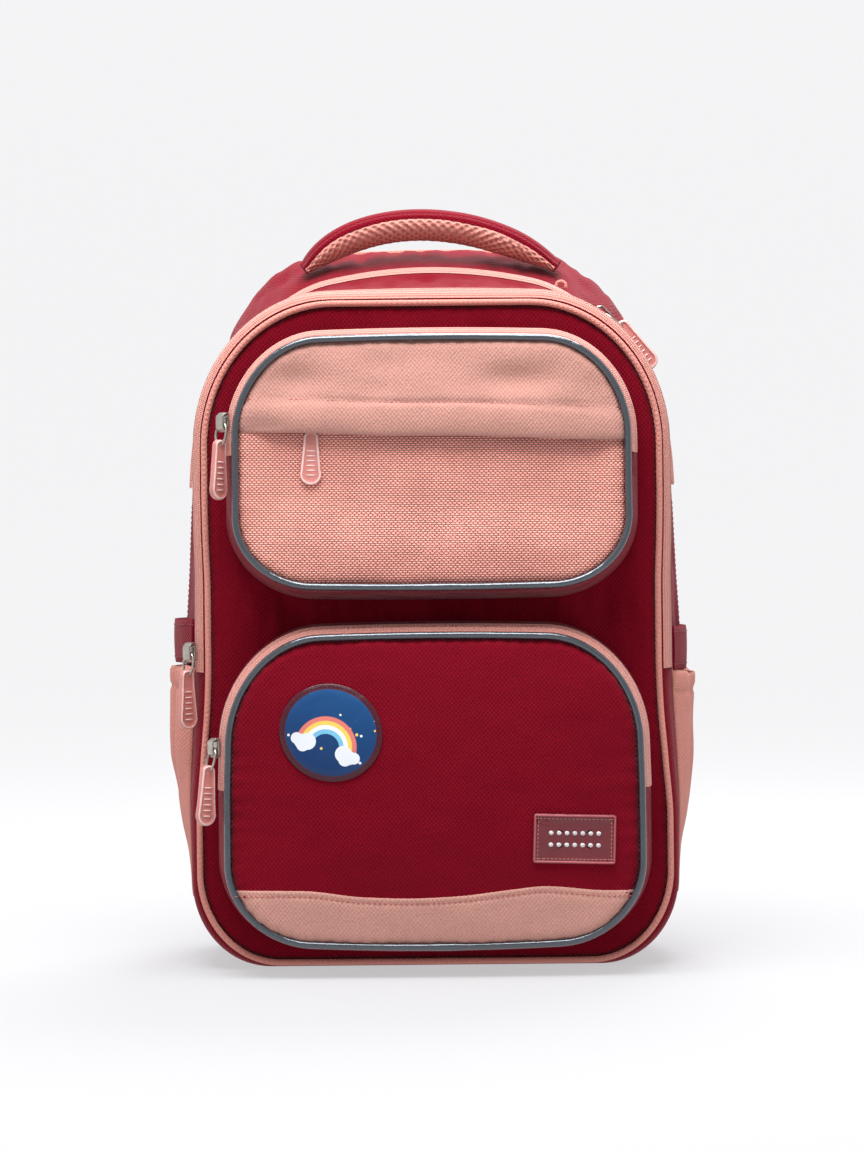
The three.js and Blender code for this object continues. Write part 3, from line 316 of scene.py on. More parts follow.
def panel_y(x, z):
    """The depth of the front panel."""
    return FRONT_Y - PANEL_CROWN * puff(FRONT_BOX, x, z)


def rim_y(box, z):
    """The depth of a pocket's piping."""
    t = np.clip((z - box["bottom"]) / (box["top"] - box["bottom"]), 0, 1)
    return FRONT_Y - (box["deep_bottom"] * (1 - t) + box["deep_top"] * t)


def face_y(box, x, z):
    """The depth of a pocket's stuffed face."""
    return rim_y(box, z) - box["puff"] * (0.55 * puff(box, x, z) + 0.45 * puff(box, x, z, 4))


POCKET_STEPS = (60, 24, 30, 60)


def pocket_outline(box):
    return rounded_outline(box, POCKET_STEPS)


def pocket_skin(box, share, out=0.0):
    """The side wall of a pocket: share 0 lies on the front panel and 1 at the piping."""
    flare = box["flare"]
    spread = flare - (0.2 * flare + 0.95) * share + (1.9 - 0.8 * flare) * share**2
    ring = offset(pocket_outline(box), spread)
    base = panel_y(ring[:, 0], ring[:, 1]) - 0.6
    y = base * (1 - share) + (rim_y(box, ring[:, 1]) + 2.2) * share
    return at_depth(offset(ring, out), y)


# ---------------------------------------------------------------------------------------------------------
# Meshes


def make_piece(name, points, faces, corner_uv, finish, behind=None):
    """A smooth mesh from points in millimetres, with its faces turned away from the point behind it."""
    triangles = np.array([f[:3] for f in faces])
    a, b, c = (points[triangles[:, k]] for k in range(3))
    normal = np.cross(b - a, c - a)
    sense = (normal * (a if behind is None else a - np.array(behind))).sum()
    if sense < 0:
        faces = [f[::-1] for f in faces]
        corner_uv = [uv[::-1] for uv in corner_uv]
    mesh = bpy.data.meshes.new(name)
    mesh.from_pydata((points * MM).tolist(), [], faces)
    layer = mesh.uv_layers.new(name=UV_NAME)
    layer.data.foreach_set("uv", np.concatenate(corner_uv).ravel() * MM)
    mesh.polygons.foreach_set("use_smooth", [True] * len(mesh.polygons))
    mesh.materials.append(finish)
    piece = bpy.data.objects.new(name, mesh)
    bpy.context.scene.collection.objects.link(piece)
    return piece


def finish_piece(piece, *nodes, padded=None):
    """Hides the solids a piece stands for and makes it ride the bag. The padded argument is not used."""
    if nodes:
        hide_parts(*nodes)
    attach(piece, "root")
    return piece


def thicken(piece, thick):
    """Gives a sheet its thickness, behind the side that shows."""
    wall = piece.modifiers.new("wall", "SOLIDIFY")
    wall.thickness, wall.offset, wall.use_rim = thick * MM, -1.0, True
    return piece


def grid_piece(name, grid, finish, wrap=False, caps=False, behind=None):
    """A piece from rows of points. Its UV map holds millimetres along and across it."""
    rows, columns = grid.shape[:2]
    across = np.linalg.norm(np.diff(np.concatenate([grid, grid[:, :1]], 1), axis=1), axis=2).mean(0)
    down = np.linalg.norm(np.diff(grid, axis=0), axis=2).mean(1)
    u, v = np.concatenate([[0], np.cumsum(across)]), np.concatenate([[0], np.cumsum(down)])
    faces, corner_uv = [], []
    for r in range(rows - 1):
        for c in range(columns if wrap else columns - 1):
            n = (c + 1) % columns
            faces.append([r * columns + c, r * columns + n, (r + 1) * columns + n, (r + 1) * columns + c])
            square = ((c, r), (c + 1, r), (c + 1, r + 1), (c, r + 1))
            corner_uv.append(np.array([[u[a], v[b]] for a, b in square]))
    points = grid.reshape(-1, 3)
    if caps:
        for r, turned in ((0, True), (rows - 1, False)):
            points = np.concatenate([points, grid[r].mean(0)[None]])
            for c in range(columns):
                pair = [r * columns + c, r * columns + (c + 1) % columns]
                faces.append([*(pair[::-1] if turned else pair), len(points) - 1])
                corner_uv.append(np.array([[u[c], v[r]]] * 3))
    return make_piece(name, points, faces, corner_uv, finish, behind)


def fan_piece(name, outline, depth, finish, rings=26, behind=(0, 400, 200)):
    """A sheet that fills an outline. depth(x, z, gap, along) gives y; gap is the way to the border."""
    middle = outline.mean(0)
    shares = (np.arange(1, rings + 1) / rings) ** 0.75
    flat = np.concatenate([middle[None], *[middle + (outline - middle) * s for s in shares]])
    gap, along = distance_to(outline, flat)
    points = np.stack([flat[:, 0], depth(flat[:, 0], flat[:, 1], gap, along), flat[:, 1]], 1)
    count = len(outline)
    faces = [[0, 1 + c, 1 + (c + 1) % count] for c in range(count)]
    for r in range(rings - 1):
        low, high = 1 + r * count, 1 + (r + 1) * count
        faces += [[low + c, high + c, high + (c + 1) % count, low + (c + 1) % count] for c in range(count)]
    return make_piece(name, points, faces, [flat[f] for f in faces], finish, behind)


def tube_piece(name, path, radius, finish, sides=12, closed=True, hint=(0, -1, 0)):
    """A round cord along a path; radius may change from point to point."""
    if closed:
        tangent = np.roll(path, -1, 0) - np.roll(path, 1, 0)
    else:
        tangent = np.gradient(path, axis=0)
    tangent /= np.linalg.norm(tangent, axis=1, keepdims=True)
    first = np.array(hint, float) - tangent * (tangent @ np.array(hint, float))[:, None]
    first /= np.linalg.norm(first, axis=1, keepdims=True)
    second = np.cross(tangent, first)
    angle = np.arange(sides) / sides * 2 * math.pi
    radius = np.broadcast_to(radius, len(path))[None, :, None]
    wheel = np.cos(angle)[:, None, None] * first[None] + np.sin(angle)[:, None, None] * second[None]
    grid = path[None] + radius * wheel
    if closed:
        ring = grid.transpose(1, 0, 2)
        ring = np.concatenate([ring, ring[:1]])
        piece = grid_piece(name, ring, finish, wrap=True)
        merge_ends(piece)
        return piece
    return grid_piece(name, grid.transpose(1, 0, 2), finish, wrap=True, caps=True)


def merge_ends(piece):
    """Joins the first and last ring of a closed cord."""
    work = bmesh.new()
    work.from_mesh(piece.data)
    bmesh.ops.remove_doubles(work, verts=work.verts, dist=1e-6)
    bmesh.ops.recalc_face_normals(work, faces=work.faces)
    work.to_mesh(piece.data)
    work.free()


def bead_tree():
    """Beads set along paths: each lies with its length along the path's own stored direction."""
    tree = bpy.data.node_groups.new("beads_along_path", "GeometryNodeTree")
    tree.is_modifier = True
    tree.interface.new_socket("Path", in_out="INPUT", socket_type="NodeSocketGeometry")
    for name in ("Pitch", "Long", "Wide", "High"):
        socket = tree.interface.new_socket(name, in_out="INPUT", socket_type="NodeSocketFloat")
        socket.subtype = "DISTANCE"
    tree.interface.new_socket("Finish", in_out="INPUT", socket_type="NodeSocketMaterial")
    tree.interface.new_socket("Beads", in_out="OUTPUT", socket_type="NodeSocketGeometry")

    def node(kind, settings=(), **links):
        made = tree.nodes.new(kind)
        for key, value in dict(settings).items():
            setattr(made, key, value)
        for key, value in links.items():
            socket = made.inputs[key.replace("_", " ")]
            if isinstance(value, bpy.types.NodeSocket):
                tree.links.new(value, socket)
            else:
                socket.default_value = value
        return made

    given = tree.nodes.new("NodeGroupInput").outputs
    curve = node("GeometryNodeMeshToCurve", Mesh=given["Path"])
    even = node("GeometryNodeResampleCurve", {"mode": "LENGTH"},
                Curve=curve.outputs[0], Length=given["Pitch"])
    vector = {"data_type": "FLOAT_VECTOR"}
    lie = node("GeometryNodeInputNamedAttribute", vector, Name="lie").outputs[0]
    out = node("GeometryNodeInputNamedAttribute", vector, Name="out").outputs[0]
    turn = node("FunctionNodeAxesToRotation", {"primary_axis": "Z", "secondary_axis": "X"},
                Primary_Axis=lie, Secondary_Axis=out)
    size = node("ShaderNodeCombineXYZ", X=given["High"], Y=given["Wide"], Z=given["Long"])
    bead = node("GeometryNodeMeshUVSphere", Segments=6, Rings=4, Radius=0.5)
    placed = node("GeometryNodeInstanceOnPoints", Points=even.outputs[0], Instance=bead.outputs[0],
                  Rotation=turn.outputs[0], Scale=size.outputs[0])
    real = node("GeometryNodeRealizeInstances", Geometry=placed.outputs[0])
    smooth = node("GeometryNodeSetShadeSmooth", Geometry=real.outputs[0])
    dressed = node("GeometryNodeSetMaterial", Geometry=smooth.outputs[0], Material=given["Finish"])
    end = tree.nodes.new("NodeGroupOutput")
    tree.links.new(dressed.outputs[0], end.inputs[0])
    return tree


def beads(name, paths, finish, pitch, size):
    """Stitches, teeth or ribs along paths, a list of (points, lie, out).

    The pitch and a bead's size, as its length, width and height, are in millimetres.
    """
    points = np.concatenate([p for p, _, _ in paths])
    edges, start = [], 0
    for path, _, _ in paths:
        edges += [[start + k, start + k + 1] for k in range(len(path) - 1)]
        start += len(path)
    mesh = bpy.data.meshes.new(name + "_path")
    mesh.from_pydata((points * MM).tolist(), edges, [])
    for key, index in (("lie", 1), ("out", 2)):
        rows = np.concatenate([np.broadcast_to(p[index], p[0].shape) for p in paths])
        stored = mesh.attributes.new(key, "FLOAT_VECTOR", "POINT")
        stored.data.foreach_set("vector", rows.ravel().astype(np.float32))
    carrier = bpy.data.objects.new(name + "_path", mesh)
    bpy.context.scene.collection.objects.link(carrier)
    tree = bpy.data.node_groups.get("beads_along_path") or bead_tree()
    modifier = carrier.modifiers.new("beads", "NODES")
    modifier.node_group = tree
    lengths = zip(("Pitch", "Long", "Wide", "High"), (pitch, *size))
    values = {key: length * MM for key, length in lengths} | {"Finish": finish}
    for item in tree.interface.items_tree:
        if item.in_out == "INPUT" and item.name in values:
            modifier[item.identifier] = values[item.name]
    graph = bpy.context.evaluated_depsgraph_get()
    made = bpy.data.meshes.new_from_object(carrier.evaluated_get(graph))
    made.name = name
    bpy.data.objects.remove(carrier)
    piece = bpy.data.objects.new(name, made)
    bpy.context.scene.collection.objects.link(piece)
    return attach(piece, "root")


def tangents(path):
    """The direction of an open path at each of its points."""
    step = np.gradient(path, axis=0)
    return step / np.linalg.norm(step, axis=1, keepdims=True)


def stitches(name, paths, finish, pitch=None, size=(2.1, 0.62, 0.5), out=(0, -1, 0)):
    """Rows of stitches along paths, at the add-on's own pitch unless another is given."""
    pitch = pitch or bpy.context.scene.backpack.stitch_pitch / MM
    return beads(name, [(p, tangents(p), np.array(out, float)) for p in paths], finish, pitch, size)


def swell(piece, voxel, pressure, cap, held_before):
    """Blows up a closed pad like stuffed cloth, except before a depth, with no point moved past cap."""
    even = piece.modifiers.new("even", "REMESH")
    even.mode, even.voxel_size = "VOXEL", voxel * MM
    graph = bpy.context.evaluated_depsgraph_get()
    old, piece.data = piece.data, bpy.data.meshes.new_from_object(piece.evaluated_get(graph))
    piece.modifiers.clear()
    start = np.array([v.co for v in piece.data.vertices], float)
    held = piece.vertex_groups.new(name="held")
    held.add([int(i) for i in np.nonzero(start[:, 1] < held_before * MM)[0]], 1.0, "REPLACE")
    cloth = piece.modifiers.new("Cloth", "CLOTH")
    cloth.settings.use_pressure = True
    cloth.settings.uniform_pressure_force = pressure
    cloth.settings.vertex_group_mass = "held"
    cloth.settings.effector_weights.gravity = 0
    cloth.point_cache.frame_start, cloth.point_cache.frame_end = 1, SWELL_FRAMES
    scene = bpy.context.scene
    for step in range(1, SWELL_FRAMES + 1):
        scene.frame_set(step)
    graph = bpy.context.evaluated_depsgraph_get()
    result = piece.evaluated_get(graph).to_mesh()
    moved = np.array([v.co for v in result.vertices], float) - start
    piece.evaluated_get(graph).to_mesh_clear()
    piece.modifiers.clear()
    scene.frame_set(1)
    length = np.maximum(np.linalg.norm(moved, axis=1, keepdims=True), 1e-12)
    moved *= np.minimum(1, cap * MM / length)
    piece.data.vertices.foreach_set("co", (start + moved).astype(np.float32).ravel())
    piece.data.update()
    piece.data.materials.clear()
    piece.data.materials.append(old.materials[0])
    piece.data.polygons.foreach_set("use_smooth", [True] * len(piece.data.polygons))
    rounder = piece.modifiers.new("rounder", "SUBSURF")
    rounder.levels = rounder.render_levels = 1


# ---------------------------------------------------------------------------------------------------------
# Finishes


class Value:
    """A socket of a finish; arithmetic on it adds Math nodes."""

    def __init__(self, finish, socket):
        self.finish, self.socket = finish, socket

    def math(self, operation, *others):
        inputs = dict(enumerate((self, *others)))
        made = self.finish.node("ShaderNodeMath", {"operation": operation}, inputs)
        return Value(self.finish, made.outputs[0])

    def __add__(self, other):
        return self.math("ADD", other)

    def __sub__(self, other):
        return self.math("SUBTRACT", other)

    def __mul__(self, other):
        return self.math("MULTIPLY", other)

    def __truediv__(self, other):
        return self.math("DIVIDE", other)

    def __rsub__(self, other):
        return (self * -1.0) + other

    def __rtruediv__(self, other):
        return self.power(-1.0) * other

    __radd__ = __add__
    __rmul__ = __mul__

    def sin(self):
        return self.math("SINE")

    def power(self, exponent):
        return self.math("POWER", exponent)

    def above(self, limit):
        return self.math("GREATER_THAN", limit)

    def below(self, limit):
        return self.math("LESS_THAN", limit)

    def clamp(self):
        return self.math("MAXIMUM", 0.0).math("MINIMUM", 1.0)


class Finish:
    """A material under construction."""

    def __init__(self, name, coordinates="UV"):
        self.material = bpy.data.materials.new(name)
        self.material.use_nodes = True
        self.tree = self.material.node_tree
        self.tree.nodes.clear()
        self.shader = self.node("ShaderNodeBsdfPrincipled")
        self.node("ShaderNodeOutputMaterial", {}, {"Surface": self.shader.outputs[0]})
        self.place = self.node("ShaderNodeTexCoord").outputs[coordinates]

    def node(self, kind, settings=None, inputs=None):
        made = self.tree.nodes.new(kind)
        for key, value in (settings or {}).items():
            setattr(made, key, value)
        self.feed(made, inputs or {})
        return made

    def feed(self, node, inputs):
        for key, value in inputs.items():
            value = value.socket if isinstance(value, Value) else value
            if isinstance(value, bpy.types.NodeSocket):
                self.tree.links.new(value, node.inputs[key])
            else:
                node.inputs[key].default_value = value

    def surface(self, **inputs):
        self.feed(self.shader, {key.replace("_", " "): value for key, value in inputs.items()})
        return self.material

    def axes(self):
        parts = self.node("ShaderNodeSeparateXYZ", {}, {0: self.place}).outputs
        return [Value(self, part) for part in parts]

    def noise(self, size, detail=2.0, rough=0.5):
        """Noise around 0.5 with spots of about this size in metres."""
        inputs = {"Vector": self.place, "Scale": 1 / size, "Detail": detail, "Roughness": rough}
        return Value(self, self.node("ShaderNodeTexNoise", {}, inputs).outputs[0])

    def mix(self, factor, first, second):
        inputs = {0: factor, 6: first, 7: second}
        return self.node("ShaderNodeMix", {"data_type": "RGBA"}, inputs).outputs[2]

    def bump(self, height, distance, strength=1.0):
        inputs = {"Height": height, "Distance": distance, "Strength": strength}
        return self.node("ShaderNodeBump", {}, inputs).outputs[0]


def shade(colour, factor):
    """A colour made darker or lighter by a factor."""
    return tuple(c * factor for c in colour[:3]) + (1.0,)


def woven(name, colour, pitch, contrast=0.6, mottle=0.3, sheen=0.16, coordinates="UV", axes=(0, 1)):
    """Plain weave: threads cross at the pitch in metres, over a slow change of tone."""
    finish = Finish(name, coordinates)
    parts = finish.axes()
    turn = 2 * math.pi / pitch
    threads = (parts[axes[0]] * turn).sin() * (parts[axes[1]] * (turn * 0.85)).sin()
    slub = finish.noise(0.0016, 2.0)
    cloud = finish.noise(0.035, 3.0)
    nap = tuple((c + 0.15) ** 0.5 for c in colour[:3]) + (1.0,)
    tone = threads * (0.5 * contrast) + (slub - 0.5) * (1.2 * contrast) + (cloud - 0.5) * mottle + 0.5
    return finish.surface(
        Base_Color=finish.mix(tone.clamp(), shade(colour, 0.72), shade(colour, 1.28)),
        Roughness=(slub - 0.5) * 0.2 + 0.82,
        Sheen_Weight=sheen, Sheen_Roughness=0.45, Sheen_Tint=nap, Specular_IOR_Level=0.07,
        Normal=finish.bump(threads * 0.5 + slub, 0.0003),
    )


def basket(name, colour, pitch):
    """Coarse basket weave: short fat threads in a brick pattern with dark gaps between them."""
    finish = Finish(name)
    u, v, _ = finish.axes()
    row = (v / pitch * 2).math("FLOOR")
    shift = row.math("MODULO", 2.0) * 0.5
    across = (u / pitch + shift).math("FRACT") - 0.5
    up = (v / pitch * 2).math("FRACT") - 0.5
    knot = (1 - (across * across * 4.4 + up * up * 4.4)).clamp()
    slub = finish.noise(0.0009, 2.0)
    cloud = finish.noise(0.03, 2.0)
    tone = (knot.power(0.5) * 0.85 + (slub - 0.5) * 0.25 + (cloud - 0.5) * 0.3).clamp()
    return finish.surface(
        Base_Color=finish.mix(tone, shade(colour, 0.26), shade(colour, 1.46)),
        Roughness=0.85, Sheen_Weight=0.2, Sheen_Tint=shade(colour, 1.4), Specular_IOR_Level=0.25,
        Normal=finish.bump(knot.power(0.5) + slub * 0.3, 0.0005),
    )


def air_mesh(name, colour, pitch, coordinates="UV", axes=(0, 1)):
    """Spacer mesh: round holes in a diamond pattern, dark inside."""
    finish = Finish(name, coordinates)
    parts = finish.axes()
    turn = 2 * math.pi / pitch
    u, v = parts[axes[0]] * turn, parts[axes[1]] * turn * 1.15
    hole = (((u + v) * 0.5).sin() * ((u - v) * 0.5).sin()).math("ABSOLUTE").power(1.4)
    fine = (parts[axes[0]] * (turn * 6)).sin() * (parts[axes[1]] * (turn * 6)).sin()
    slub = finish.noise(0.0012, 2.0)
    tone = (1 - hole * 0.95 + fine * 0.08 + (slub - 0.5) * 0.2).clamp()
    return finish.surface(
        Base_Color=finish.mix(tone, shade(colour, 0.5), shade(colour, 1.12)),
        Roughness=0.85, Sheen_Weight=0.25, Sheen_Tint=shade(colour, 1.4), Specular_IOR_Level=0.25,
        Normal=finish.bump(1 - hole + fine * 0.05, 0.0008),
    )


def vinyl(name, colour, rough, coat, coordinates="UV", metallic=0.0):
    """Smooth soft plastic with faint waves and wear in its gloss."""
    finish = Finish(name, coordinates)
    wave = finish.noise(0.006, 2.0)
    cloud = finish.noise(0.02, 2.0)
    tone = ((cloud - 0.5) * 0.9 + 0.5).clamp()
    return finish.surface(
        Base_Color=finish.mix(tone, shade(colour, 0.85), shade(colour, 1.15)),
        Roughness=((wave - 0.5) * 0.3 + rough).clamp(), Metallic=metallic,
        Coat_Weight=coat, Coat_Roughness=0.2, Normal=finish.bump(wave, 0.0006),
    )


def thread(name, colour):
    """Twisted sewing thread."""
    finish = Finish(name, "Object")
    twist = finish.noise(0.0006, 2.0)
    return finish.surface(
        Base_Color=finish.mix(twist, shade(colour, 0.7), shade(colour, 1.3)), Roughness=0.6,
        Sheen_Weight=0.2, Specular_IOR_Level=0.35, Normal=finish.bump(twist, 0.0001),
    )


def nickel(name):
    """Plated metal, brighter on worn spots."""
    finish = Finish(name, "Object")
    wear, scratch = finish.noise(0.004, 3.0), finish.noise(0.0009, 2.0)
    return finish.surface(
        Base_Color=finish.mix(wear, linear(150, 142, 132), linear(214, 208, 200)), Metallic=1.0,
        Roughness=((scratch - 0.5) * 0.25 + 0.3).clamp(), Normal=finish.bump(scratch, 0.00004),
    )


def webbing(name, colour):
    """Narrow ribs across the strap and a woven edge."""
    finish = Finish(name)
    u, v, _ = finish.axes()
    ribs = (v * (2 * math.pi / 0.0016)).sin() * 0.6 + (u * (2 * math.pi / 0.0011)).sin() * 0.4
    slub = finish.noise(0.001, 2.0)
    tone = (ribs * 0.2 + (slub - 0.5) * 0.4 + 0.5).clamp()
    return finish.surface(
        Base_Color=finish.mix(tone, shade(colour, 0.65), shade(colour, 1.3)), Roughness=0.7,
        Sheen_Weight=0.2, Specular_IOR_Level=0.3, Normal=finish.bump(ribs, 0.00025),
    )


def printed_picture(name):
    """The oval patch: a rainbow between two clouds on a deep blue sky with dots, in a dark clear rim."""
    finish = Finish(name)
    u, v, _ = finish.axes()
    sky = finish.mix((v * 18 + 0.5).clamp(), linear(0, 44, 96), linear(12, 74, 128))
    spots = finish.node("ShaderNodeTexVoronoi", {},
                        {"Vector": finish.place, "Scale": 210.0, "Randomness": 1.0})
    dot = Value(finish, spots.outputs["Distance"]).below(0.17)
    tint = Value(finish, finish.node("ShaderNodeSeparateColor", {}, {0: spots.outputs["Color"]}).outputs[0])
    dots = finish.mix(tint.above(0.55), linear(236, 240, 246), linear(244, 206, 92))
    picture = finish.mix(dot * tint.above(0.25), sky, dots)
    bow_foot, bow_inside, bow_outside = -0.0085, 0.0075, 0.017
    low = v - bow_foot
    reach = (u * u + low * low).math("SQRT")
    across_bow = ((reach - bow_inside) / (bow_outside - bow_inside)).clamp()
    bow = finish.node("ShaderNodeValToRGB", {}, {0: across_bow})
    ramp = bow.color_ramp
    ramp.interpolation = "CONSTANT"
    blue, white, yellow, coral = (120, 190, 222), (240, 244, 248), (244, 206, 96), (222, 122, 112)
    for place, colour in ((0.0, blue), (0.26, white), (0.5, yellow), (0.74, coral)):
        stop = ramp.elements[0] if place == 0.0 else ramp.elements.new(place)
        stop.position, stop.color = place, linear(*colour)
    ramp.elements[-1].color = linear(*coral)
    in_bow = reach.above(bow_inside) * reach.below(bow_outside) * low.above(0.0)
    picture = finish.mix(in_bow, picture, bow.outputs[0])
    cloud = None
    for x, z, size in ((13.6, -9.6, 4.0), (10.4, -8.6, 4.6), (16.6, -8.9, 3.2), (12.2, -11.2, 3.6)):
        side, height = u.math("ABSOLUTE") - x * MM, v - z * MM
        puffed = (side * side + height * height).math("SQRT").below(size * MM)
        cloud = puffed if cloud is None else cloud.math("MAXIMUM", puffed)
    picture = finish.mix(cloud, picture, linear(232, 236, 242))
    across, up = u * (2 / (PICTURE["wide"] * MM)), v * (2 / (PICTURE["high"] * MM))
    edge = (across.power(2.0) + up.power(2.0)).math("SQRT")
    picture = finish.mix(edge.above(0.885), picture, linear(74, 16, 34))
    gloss = finish.noise(0.01, 2.0)
    return finish.surface(
        Base_Color=picture, Roughness=0.35, Specular_IOR_Level=0.3, Coat_Weight=0.2, Coat_Roughness=0.08,
        Normal=finish.bump(gloss, 0.0006),
    )


FINISHES = {}


def make_finishes(settings):
    red, pink = tuple(settings.red) + (1.0,), tuple(settings.pink) + (1.0,)
    coral, grey = tuple(settings.coral) + (1.0,), tuple(settings.grey) + (1.0,)
    weave = settings.weave_pitch
    FINISHES.update(
        red=woven("red_cloth", red, weave, sheen=0.32),
        red_object=woven("red_cloth_back", red, weave, coordinates="Object", axes=(0, 2)),
        pink=woven("pink_cloth", pink, weave, contrast=0.26, mottle=0.2),
        # The flap is the pink cloth made darker by 0.85. This is painted shade: flap and band are one cloth,
        # and the flap takes more light from above.
        flap=woven("flap_cloth", shade(pink, 0.85), weave, contrast=0.3, mottle=0.2),
        side=woven("pink_side_cloth", shade(coral, 0.9), weave, contrast=0.26, mottle=0.3),
        basket=basket("basket_weave", shade(coral, 1.5), settings.basket_pitch),
        tape=webbing("zip_tape", coral),
        piping=woven("pink_piping", coral, 0.0024, contrast=0.3, mottle=0.15),
        grey=vinyl("grey_piping", grey, rough=0.22, coat=0.9, metallic=0.55),
        mesh=air_mesh("handle_air_mesh", coral, MESH_PITCH * MM),
        mesh_back=air_mesh("back_air_mesh", coral, pitch=0.0048, coordinates="Object", axes=(0, 2)),
        teeth=vinyl("zip_teeth", shade(coral, 0.9), rough=0.4, coat=0.1, coordinates="Object"),
        tab=vinyl("pull_tab", linear(205, 128, 120), rough=0.38, coat=0.25, coordinates="Object"),
        pale=vinyl("pull_rim", linear(232, 196, 190), rough=0.4, coat=0.2, coordinates="Object"),
        plate=vinyl("label_plate", linear(108, 34, 42), rough=0.4, coat=0.1),
        frame=vinyl("label_frame", linear(176, 82, 88), rough=0.4, coat=0.2, coordinates="Object"),
        silver=vinyl("label_dots", linear(214, 212, 212), rough=0.35, coat=0.3, coordinates="Object"),
        buckle=vinyl("buckle_plastic", linear(118, 20, 34), rough=0.42, coat=0.15, coordinates="Object"),
        red_thread=thread("red_thread", linear(132, 18, 34)),
        pink_thread=thread("pink_thread", linear(206, 134, 124)),
        rose_thread=thread("rose_thread", linear(176, 92, 90)),
        dark_thread=thread("dark_thread", linear(64, 8, 22)),
        webbing=webbing("red_webbing", shade(red, 0.9)),
        nickel=nickel("nickel"),
        picture=printed_picture("printed_patch"),
    )


# ---------------------------------------------------------------------------------------------------------
# Body


def pucker(along, gap, seed, deep=0.35, reach=5.0):
    """Small gathers beside a sewn border."""
    wide = np.sin(along / 9.0 * 2 * math.pi + 3 * np.sin(along / 37.0 + seed))
    narrow = 0.6 * np.sin(along / 5.3 + seed)
    return deep * (wide + narrow) * np.exp(-gap / reach)


def tuck(gap, deep=1.8, reach=2.2):
    """How far cloth turns in towards the border it is sewn into."""
    return deep * np.exp(-((gap / reach) ** 2))


def build_body():
    shares = np.unique(np.concatenate([
        np.linspace(0.012, 0.36, 20), np.linspace(0.37, 0.47, 15), np.linspace(0.49, 1.0, 22),
    ]))
    rows = []
    for share in shares:
        ring = body_skin(share)
        depth = share * BODY_DEPTH
        to_seam = abs(depth - MAIN_SEAM * BODY_DEPTH)
        sink = 1.3 * math.exp(-((to_seam / 1.7) ** 2)) + 1.2 * math.exp(-((depth / 2.5) ** 2))
        calm = smooth_step(14, 26, depth) * smooth_step(4, 12, to_seam)
        folds = 0.5 + 0.55 * rumple(ring, (30, 26, 70), 3.1) + 0.4 * rumple(ring, (10, 22, 16), 7.7)
        gathers = np.maximum(0, rumple(ring, (9, 34, 11), 12.0)) * smooth_step(300, 345, ring[:, 2])
        rows.append(body_skin(share, -(sink + calm * (2.4 * folds + 4.0 * gathers))))
    cloth = grid_piece("body_cloth", np.array(rows), FINISHES["red"], wrap=True, behind=(0, 0, 200))
    finish_piece(thicken(cloth, 1.2), "front_gusset", "main_gusset")

    inside = offset(front_outline, -BODY_PIPING + 0.4)

    def front(x, z, gap, along):
        points = np.stack([x, x * 0, z], 1)
        between = np.exp(-(((z - 201) / 14) ** 2)) * smooth_step(0, 40, gap)
        folds = 1.8 * rumple(points, (26, 30, 52), 1.3) + 0.7 * rumple(points, (9, 10, 20), 5.9)
        streaks = between * 2.2 * rumple(points, (6, 10, 24), 15.0)
        crease = streaks + between * (3.2 * np.sin(x / 15 + 1.1 * np.sin(x / 13 + z / 16)) + 2.4)
        border = tuck(gap) + pucker(along, gap, 1.0)
        return panel_y(x, z) + 0.6 + folds * smooth_step(2, 18, gap) + crease + border

    panel = fan_piece("front_panel_cloth", inside, front, FINISHES["red"], rings=46)
    finish_piece(thicken(panel, 1.0), "front_panel")

    path = at_depth(front_outline, FRONT_Y)
    joint = np.exp(-(((path[:, 0] - 6) / 8) ** 8)) * (path[:, 2] < 60)
    piping = tube_piece("body_piping_cord", path, BODY_PIPING * (1 + 0.08 * joint), FINISHES["piping"])
    finish_piece(piping, "body_piping")

    seam = []
    for share in (MAIN_SEAM - 0.03, MAIN_SEAM + 0.03):
        ring = body_skin(share, 0.05)
        keep = ring[:, 2] < SEAM_STITCHES_END
        turned = np.roll(ring, -int(np.argmax(~keep & np.roll(keep, -1))) - 1, 0)
        seam.append(turned[turned[:, 2] < SEAM_STITCHES_END])
    outs = [np.stack([p[:, 0], p[:, 0] * 0, p[:, 2] - 150], 1) for p in seam]
    outs = [o / np.linalg.norm(o, axis=1, keepdims=True) for o in outs]
    sewn = [(p, tangents(p), o) for p, o in zip(seam, outs)]
    beads("body_stitches", sewn, FINISHES["red_thread"], 3.0, (2.2, 0.6, 0.5))


# ---------------------------------------------------------------------------------------------------------
# Zips

BAND_PROFILE = (0.0, 0.9, 1.5, 1.65, 1.45, 1.0, 0.9, 1.0, 1.45, 1.65, 1.5, 0.9, 0.0)


def zip_band(name, skin, low, high, end_height, node):
    """Zip tape on a skin, over its top between two equal heights, with its coil of teeth."""
    shares = np.linspace(low, high, len(BAND_PROFILE))
    rows = []
    for share, out in zip(shares, BAND_PROFILE):
        ring = skin(share, 0.35 + out)
        first = int(np.argmax((ring[:, 2] >= end_height) & (np.roll(ring[:, 2], 1) < end_height)))
        turned = np.roll(ring, -first, 0)
        rows.append(turned[: int((ring[:, 2] >= end_height).sum())])
    count = min(len(r) for r in rows)
    grid = np.array([r[:count] for r in rows])
    for end, next_in in ((0, 1), (-1, -2)):
        grid[:, end] = grid[:, next_in] * 0.3 + grid[:, end] * 0.7
    finish_piece(grid_piece(name, grid, FINISHES["tape"], behind=(0, 0, grid[..., 2].mean())), node)
    middle = grid[len(grid) // 2]
    lie = grid[-1] - grid[0]
    lie /= np.linalg.norm(lie, axis=1, keepdims=True)
    out = np.cross(tangents(middle), lie)
    if out[:, 2].sum() < 0:
        out = -out
    pitch = bpy.context.scene.backpack.tooth_pitch / MM
    beads(name + "_teeth", [(middle + out * 0.25, lie, out)], FINISHES["teeth"], pitch, (2.3, 0.85, 0.9))


